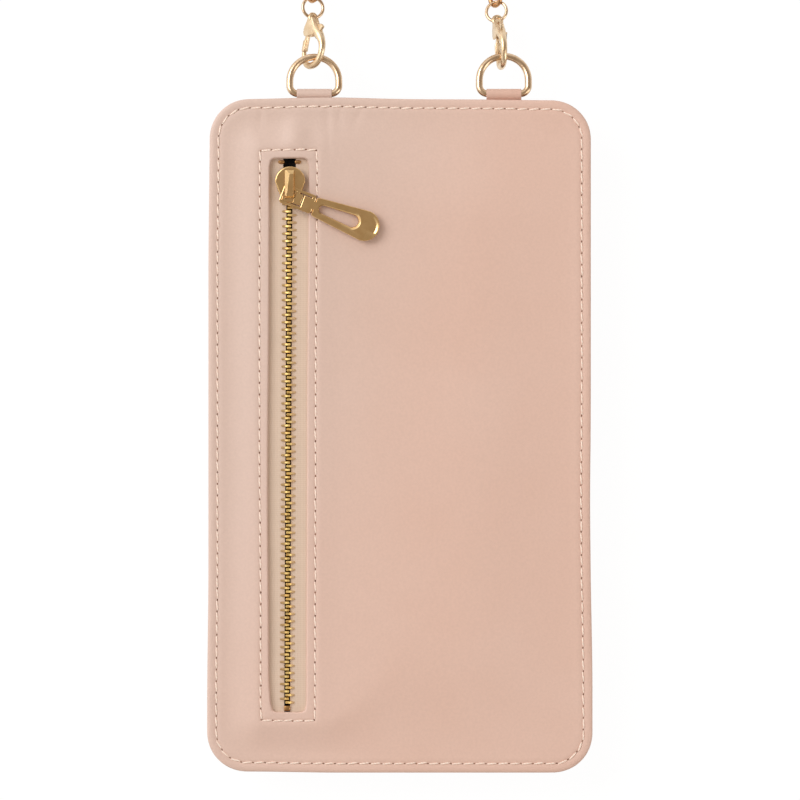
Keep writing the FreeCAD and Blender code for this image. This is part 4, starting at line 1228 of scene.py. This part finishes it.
for name, x in RING_X.items():
    bm = bmesh.new()
    middle = LOOP_IN + STRIP_T / 2
    start = bm.verts.new((x - STRIP_HALF, LOOP_Y, BAR_LEVEL + middle))
    made = bmesh.ops.spin(bm, geom=[start], cent=(0, LOOP_Y, BAR_LEVEL), axis=(1, 0, 0),
                          angle=-math.pi, steps=14, use_merge=False)
    for end, sign in ((start, 1), (fresh_verts(made, "geom_last")[0], -1)):
        for back, lift in STRIP_PROFILE:
            spot = bm.verts.new((x - STRIP_HALF, LOOP_Y - back, BAR_LEVEL + sign * lift * middle))
            bm.edges.new((end, spot))
            end = spot
    edges = bm.edges[:]
    for before, column in zip((0.0,) + STRIP_COLUMNS, STRIP_COLUMNS):
        edges = drawn_out(bm, edges, (column - before, 0, 0))
    bmesh.ops.recalc_face_normals(bm, faces=bm.faces)
    tab = make_piece(f"strap_loop_{name}", bm, tab_leather, "pouch")
    strip = tab.modifiers.new("strip", "SOLIDIFY")
    strip.thickness = STRIP_T * MM
    strip.offset = 0.0
    soft = tab.modifiers.new("soft", "BEVEL")
    soft.width = STRIP_SOFT * MM
    soft.segments = 2
    soft.limit_method = "ANGLE"
    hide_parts(f"strap_tab_{name}")

# Rings: round brass wire bent to a D, its ends butted in the middle of the straight bar.
# They are plated in pale gold, and swing in their tabs.
BEND_STEP = 9
RING_WIRE = 1.94
RING_LINE_W = 13.5
RING_RISE = {"left": 10.4, "right": 10.65}
RING_CORNER = 2.3
STRAP_TILT = -11.0
ring_gold = metal_finish("ring_gold", srgb(229, 201, 169), srgb(208, 175, 140), 0.22)


def bend_wire(wire, sides, moves):
    bm = bmesh.new()
    face_on = Matrix.Rotation(math.pi / 2, 4, "Y")
    bmesh.ops.create_circle(bm, cap_ends=False, segments=sides, radius=wire / 2, matrix=face_on)
    edges = bm.edges[:]
    place = Vector((0, 0, 0))
    heading = 0.0
    for run, radius, angle in moves:
        if run:
            step = Vector((math.cos(heading), math.sin(heading), 0)) * run
            edges = drawn_out(bm, edges, step)
            place += step
        to_centre = Vector((-math.sin(heading), math.cos(heading), 0)) * radius
        turn = math.radians(angle)
        made = bmesh.ops.spin(bm, geom=edges, cent=place + to_centre, axis=(0, 0, 1), angle=turn,
                              steps=max(3, round(abs(angle) / BEND_STEP)), use_merge=False)
        edges = [e for e in made["geom_last"] if isinstance(e, bmesh.types.BMEdge)]
        place = place + to_centre - Matrix.Rotation(turn, 3, "Z") @ to_centre
        heading += turn
    bmesh.ops.remove_doubles(bm, verts=bm.verts, dist=0.001)
    bmesh.ops.recalc_face_normals(bm, faces=bm.faces)
    return bm


bar_run = RING_LINE_W - 2 * RING_CORNER
tilt = Matrix.Rotation(math.radians(STRAP_TILT), 4, "X")
for name, x in RING_X.items():
    side_run = RING_RISE[name] - RING_LINE_W / 2 - RING_CORNER
    bm = bend_wire(RING_WIRE, 16, (
        (bar_run, RING_CORNER, 90), (side_run, RING_LINE_W / 2, 180), (side_run, RING_CORNER, 90)))
    bmesh.ops.translate(bm, verts=bm.verts, vec=(-bar_run / 2, 0, 0))
    ring = make_piece(f"ring_{name}", bm, ring_gold, f"d_ring_{name}",
                      Matrix.Translation((x, BAR_Y, BAR_LEVEL)) @ tilt)
    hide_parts(f"d_ring_{name}")

# Clasps: cast lobster clasps, a hook that sweeps down from the eye with two cheeks for the gate.
# The gate turns on a riveted pin, and a leaf spring inside holds it shut.
CLASP_TURN = {"left": 42.0, "right": 14.0}
CLASP_AT = {"left": (-0.4, 104.2), "right": (-0.6, 104.2)}
CLASP_LEVEL = 9.0
CLASP_LEAN = {"left": 0.0, "right": 6.0}
CLASP_PITCH = {"left": -11.0, "right": -20.0}
HOOK_LINE = (
    (0.1, 10.4, 0.8), (0.35, 9.3, 1.2), (0.9, 8.2, 1.48), (2.0, 6.8, 1.45), (3.1, 5.3, 1.2),
    (3.8, 3.6, 1.0), (3.85, 1.8, 0.92), (3.2, 0.0, 0.88), (2.1, -1.6, 0.90), (0.4, -2.35, 0.96),
    (-1.6, -2.3, 0.94), (-3.0, -1.4, 0.84), (-3.6, 0.3, 0.75), (-3.65, 1.95, 0.6))
EYE_V = 11.0
EYE_R = 1.1
EYE_WIRE = 1.15
CHEEK = (
    (-2.5, 6.2), (-2.85, 7.3), (-2.3, 8.9), (-1.5, 10.0), (-0.85, 11.2),
    (0.85, 11.2), (1.4, 9.8), (2.2, 8.0), (2.4, 6.6), (1.2, 5.9))
CHEEK_IN = 0.6
CHEEK_T = 0.7
CHEEK_SOFT = 0.32
NECK = ((1.3, 9.2), (0.95, 11.1), (-0.95, 11.1), (-1.3, 9.2))
NECK_T = 1.9
NECK_SOFT = 0.25
GATE = (
    (-1.5, 6.0), (-1.8, 5.0), (-2.85, 2.05), (-4.1, 2.12), (-3.2, 5.4),
    (-2.6, 6.6), (-1.2, 7.7), (-0.1, 7.5), (-0.1, 6.4))
BLADE = ((-2.1, 5.2), (-2.95, 2.1), (-4.05, 2.15), (-3.3, 5.2))
LEVER = ((2.3, 7.2), (3.3, 6.7), (4.5, 7.9), (3.7, 8.8), (2.5, 8.9), (1.9, 8.2))
GATE_PLATES = ((GATE, 0.84, 0.16), (BLADE, 1.5, 0.22), (LEVER, 0.9, 0.2))
clasp_gold = metal_finish("clasp_gold", srgb(240, 217, 184), srgb(220, 190, 152), 0.34)


def strap_line(name):
    aside, y = CLASP_AT[name]
    hung = Matrix.Translation((RING_X[name] + aside, y, CLASP_LEVEL))
    lean = Matrix.Rotation(math.radians(CLASP_LEAN[name]), 4, "Z")
    return hung @ lean @ Matrix.Rotation(math.radians(CLASP_PITCH[name]), 4, "X")


def clasp_place(name):
    return strap_line(name) @ Matrix.Rotation(math.radians(CLASP_TURN[name] - 90.0), 4, "Y")


def soft_line(name, spots, steps):
    curve = bpy.data.curves.new(name, "CURVE")
    curve.dimensions = "3D"
    line = curve.splines.new("NURBS")
    line.points.add(len(spots) - 1)
    for point, spot in zip(line.points, spots):
        point.co = (*spot, 1)
    line.order_u = 3
    line.use_endpoint_u = True
    line.resolution_u = steps
    return curve


def line_mesh(curve):
    model = bpy.data.objects.new(curve.name, curve)
    scene.collection.objects.link(model)
    bpy.context.view_layer.update()
    mesh = bpy.data.meshes.new_from_object(model)
    bpy.data.objects.remove(model)
    bpy.data.curves.remove(curve)
    return mesh


def hook_shape():
    sweep = soft_line("hook_sweep", [(u, v, 0) for u, v, _ in HOOK_LINE], 5)
    for point, (_, _, radius) in zip(sweep.splines[0].points, HOOK_LINE):
        point.radius = radius
    sweep.bevel_depth = 1.0
    sweep.bevel_resolution = 4
    sweep.use_fill_caps = True
    mesh = line_mesh(sweep)
    bm = bmesh.new()
    bm.from_mesh(mesh)
    bpy.data.meshes.remove(mesh)
    bmesh.ops.remove_doubles(bm, verts=bm.verts, dist=0.001)
    return bm


def add_plate(bm, plan, low, rise, soft):
    plate = bmesh.new()
    raise_face(plate, plate.faces.new([plate.verts.new((u, v, low)) for u, v in plan]), rise)
    bmesh.ops.recalc_face_normals(plate, faces=plate.faces)
    soften(plate, plate.edges[:], soft, 3)
    join_in(bm, plate)


for name in RING_X:
    bm = hook_shape()
    for low in (CHEEK_IN, -CHEEK_IN - CHEEK_T):
        add_plate(bm, CHEEK, low, CHEEK_T, CHEEK_SOFT)
    add_plate(bm, NECK, -NECK_T / 2, NECK_T, NECK_SOFT)
    eye = bend_wire(EYE_WIRE, 12, ((0, EYE_R, 360),))
    bmesh.ops.translate(eye, verts=eye.verts, vec=(0, -EYE_R, 0))
    bmesh.ops.rotate(eye, verts=eye.verts, matrix=Matrix.Rotation(math.pi / 2, 3, "Y"))
    bmesh.ops.translate(eye, verts=eye.verts, vec=(0, EYE_V, 0))
    join_in(bm, eye)
    bmesh.ops.recalc_face_normals(bm, faces=bm.faces)
    clasp = make_piece(f"clasp_{name}", bm, clasp_gold, "strap", clasp_place(name), crease=45)
    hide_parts(f"clasp_body_{name}")
    gate = bmesh.new()
    for plan, thickness, soft in GATE_PLATES:
        add_plate(gate, plan, -thickness / 2, thickness, soft)
    trigger = make_piece(f"clasp_gate_{name}", gate, clasp_gold, f"trigger_{name}", clasp_place(name),
                         crease=45)
    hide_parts(f"clasp_trigger_{name}")

# Clasp pins and springs: a turned rivet across the cheeks and a bent steel leaf behind the gate.
# Both keep their solids, which have the real shape.
spring_steel = metal_finish("spring_steel", srgb(196, 194, 190), srgb(158, 156, 152), 0.28)
for name in RING_X:
    for node, finish in ((f"clasp_pin_{name}", ring_gold), (f"clasp_spring_{name}", spring_steel)):
        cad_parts[node].data.materials.clear()
        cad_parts[node].data.materials.append(finish)

# Jump rings: thin round wire in pale gold, bent to a closed ring.
# Each goes through the eye of its clasp and the last link of the chain.
JUMP_TURN = {"left": 14.0, "right": -12.0}
JUMP_V = {"left": 14.0, "right": 13.7}
JUMP_WIRE = 0.88
JUMP_LINE_R = 2.85
for name in RING_X:
    bm = bend_wire(JUMP_WIRE, 12, ((0, JUMP_LINE_R, 360),))
    bmesh.ops.translate(bm, verts=bm.verts, vec=(0, -JUMP_LINE_R, 0))
    turn = Matrix.Rotation(math.radians(JUMP_TURN[name]), 4, "Y")
    place = strap_line(name) @ Matrix.Translation((0, JUMP_V[name], 0)) @ turn
    jump = make_piece(f"jump_wire_{name}", bm, ring_gold, "strap", place)
    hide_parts(f"jump_ring_{name}")

# Coil ties: two soft cotton bands round the wound chain, each closed with a small knot.
# They hold the turns together while the strap is put away.
COIL_X = 2.6
COIL_Y = 163.0
COIL_R = 34.0
COIL_STEP = 4.8
COIL_TURNS = 3
COIL_LAYER = 4.6
COIL_DIP = 1.2
CHAIN_REST = 2.6
INNER_R = COIL_R - COIL_STEP * COIL_TURNS
TIE_HALF = 1.1
TIE_T = 0.4
TIE_STEPS = (0.2, 0.9, 0.9, 0.2)
BAND_ROOM = 2.67
BAND_IN = INNER_R - COIL_DIP - BAND_ROOM
BAND_OUT = COIL_R + BAND_ROOM
BAND_LOW = 0.25
BAND_TOP = 9.35
BAND_BEND = 2.4
KNOT_SIZE = (1.5, 1.9, 0.9)
KNOT_LIFT = 0.6
KNOT_LOBES = 5
KNOT_DEPTH = 0.12
tie_cotton = cloth_finish("tie_cotton", srgb(232, 221, 206), srgb(205, 190, 174), 0.45)
bm = bmesh.new()
for sign in (-1, 1):
    band = bmesh.new()
    near, far = sorted((COIL_Y + sign * BAND_IN, COIL_Y + sign * BAND_OUT))
    band.faces.new([band.verts.new((COIL_X - TIE_HALF, y, z)) for y, z in (
        (near, BAND_LOW), (far, BAND_LOW), (far, BAND_TOP), (near, BAND_TOP))])
    bmesh.ops.bevel(band, geom=band.verts[:], offset=BAND_BEND, segments=8, profile=0.5,
                    affect="VERTICES", material=-1)
    loop = band.edges[:]
    bmesh.ops.delete(band, geom=band.faces[:], context="FACES_ONLY")
    for step in TIE_STEPS:
        loop = drawn_out(band, loop, (step, 0, 0))
    bmesh.ops.recalc_face_normals(band, faces=band.faces)
    bmesh.ops.solidify(band, geom=band.faces[:], thickness=TIE_T)
    join_in(bm, band)
    knot = bmesh.new()
    bmesh.ops.create_uvsphere(knot, u_segments=16, v_segments=10, radius=1.0)
    bmesh.ops.scale(knot, vec=KNOT_SIZE, verts=knot.verts)
    for vert in knot.verts:
        vert.co *= 1 + KNOT_DEPTH * math.sin(KNOT_LOBES * math.atan2(vert.co.y, vert.co.x))
    knot_y = COIL_Y + sign * (BAND_IN + BAND_OUT) / 2
    bmesh.ops.translate(knot, verts=knot.verts, vec=(COIL_X, knot_y, BAND_TOP + KNOT_LIFT))
    join_in(bm, knot)
ties = make_piece("cotton_ties", bm, tie_cotton, "strap", crease=50)
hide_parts("coil_ties")

# Chain: 194 links of round wire from ring to ring, so the strap is about 1.14 m long.
# It leaves the left clasp, is wound in two layers of three turns, and goes back to the right clasp.
CHAIN_LINKS = 194
CHAIN_WIRE = 1.4
LINK_BEND = 1.8
LINK_STRAIGHT = 2.0
CHAIN_END = {"left": 16.9, "right": 16.5}
UPPER = CHAIN_REST + COIL_LAYER
COIL_POINTS = 16
chain_gold = metal_finish("chain_gold", srgb(212, 166, 120), srgb(176, 130, 88), 0.22)


def on_strap(name, v):
    x, y, z = strap_line(name) @ Vector((0, v, 0))
    return (x, y, max(z, CHAIN_REST))


def coil_point(turn, r, z):
    angle = math.pi - 2 * math.pi * turn
    return (COIL_X + r * math.cos(angle), COIL_Y + r * math.sin(angle), z)


route = [
    on_strap("left", CHAIN_END["left"]),
    on_strap("left", CHAIN_END["left"] + 9.0),
    (RING_X["left"] - 0.8, COIL_Y - 25.0, CHAIN_REST),
    (COIL_X - COIL_R + 2.0, COIL_Y - 15.0, CHAIN_REST),
    (COIL_X - COIL_R, COIL_Y - 6.0, CHAIN_REST),
]
for i in range(COIL_POINTS * COIL_TURNS + 1):
    turn = i / COIL_POINTS
    route.append(coil_point(turn, COIL_R - COIL_STEP * turn, CHAIN_REST))
for i in range(1, COIL_POINTS // 2):
    f = 2 * i / COIL_POINTS
    r = INNER_R - COIL_DIP * math.sin(math.pi * f)
    route.append(coil_point(COIL_TURNS + f / 2, r, CHAIN_REST + COIL_LAYER * smooth_step(f)))
for i in range(COIL_POINTS * COIL_TURNS + 1):
    turn = i / COIL_POINTS
    route.append(coil_point(COIL_TURNS + 0.5 + turn, INNER_R + COIL_STEP * turn, UPPER))
route += [
    (COIL_X + COIL_R, COIL_Y - 6.0, UPPER),
    (COIL_X + COIL_R - 2.0, COIL_Y - 15.0, UPPER - 2.4),
    (RING_X["right"] + 0.8, COIL_Y - 25.0, CHAIN_REST + 0.6),
    on_strap("right", CHAIN_END["right"] + 9.0),
    on_strap("right", CHAIN_END["right"]),
]
route_mesh = line_mesh(soft_line("chain_route", [(x * MM, y * MM, z * MM) for x, y, z in route], 12))
chain_path = [v.co.copy() for v in route_mesh.vertices]
bpy.data.meshes.remove(route_mesh)
reach = [0.0]
for a, b in zip(chain_path, chain_path[1:]):
    reach.append(reach[-1] + (b - a).length)
joints = []
step = 0
for i in range(CHAIN_LINKS + 1):
    goal = reach[-1] * i / CHAIN_LINKS
    while step < len(reach) - 2 and reach[step + 1] < goal:
        step += 1
    share_of_step = (goal - reach[step]) / (reach[step + 1] - reach[step])
    joints.append(chain_path[step].lerp(chain_path[step + 1], share_of_step) / MM)
places = []
for i, (a, b) in enumerate(zip(joints, joints[1:])):
    along = (b - a).normalized()
    across = along.cross(Vector((0, 0, 1))).normalized()
    up = across.cross(along)
    roll = math.pi / 4 if i % 2 == 0 else -math.pi / 4
    flat = across * math.cos(roll) + up * math.sin(roll)
    turned = Matrix((along, flat, along.cross(flat))).transposed().to_4x4()
    places.append(Matrix.Translation((a + b) / 2) @ turned)
chain_link = bend_wire(CHAIN_WIRE, 6, 2 * ((2 * LINK_STRAIGHT, LINK_BEND, 180),))
bmesh.ops.translate(chain_link, verts=chain_link.verts, vec=(-LINK_STRAIGHT, -LINK_BEND, 0))
chain = make_piece("chain", repeat(chain_link, places), chain_gold, "strap")
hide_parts("chain_left_run", "chain_coil", "chain_right_run")
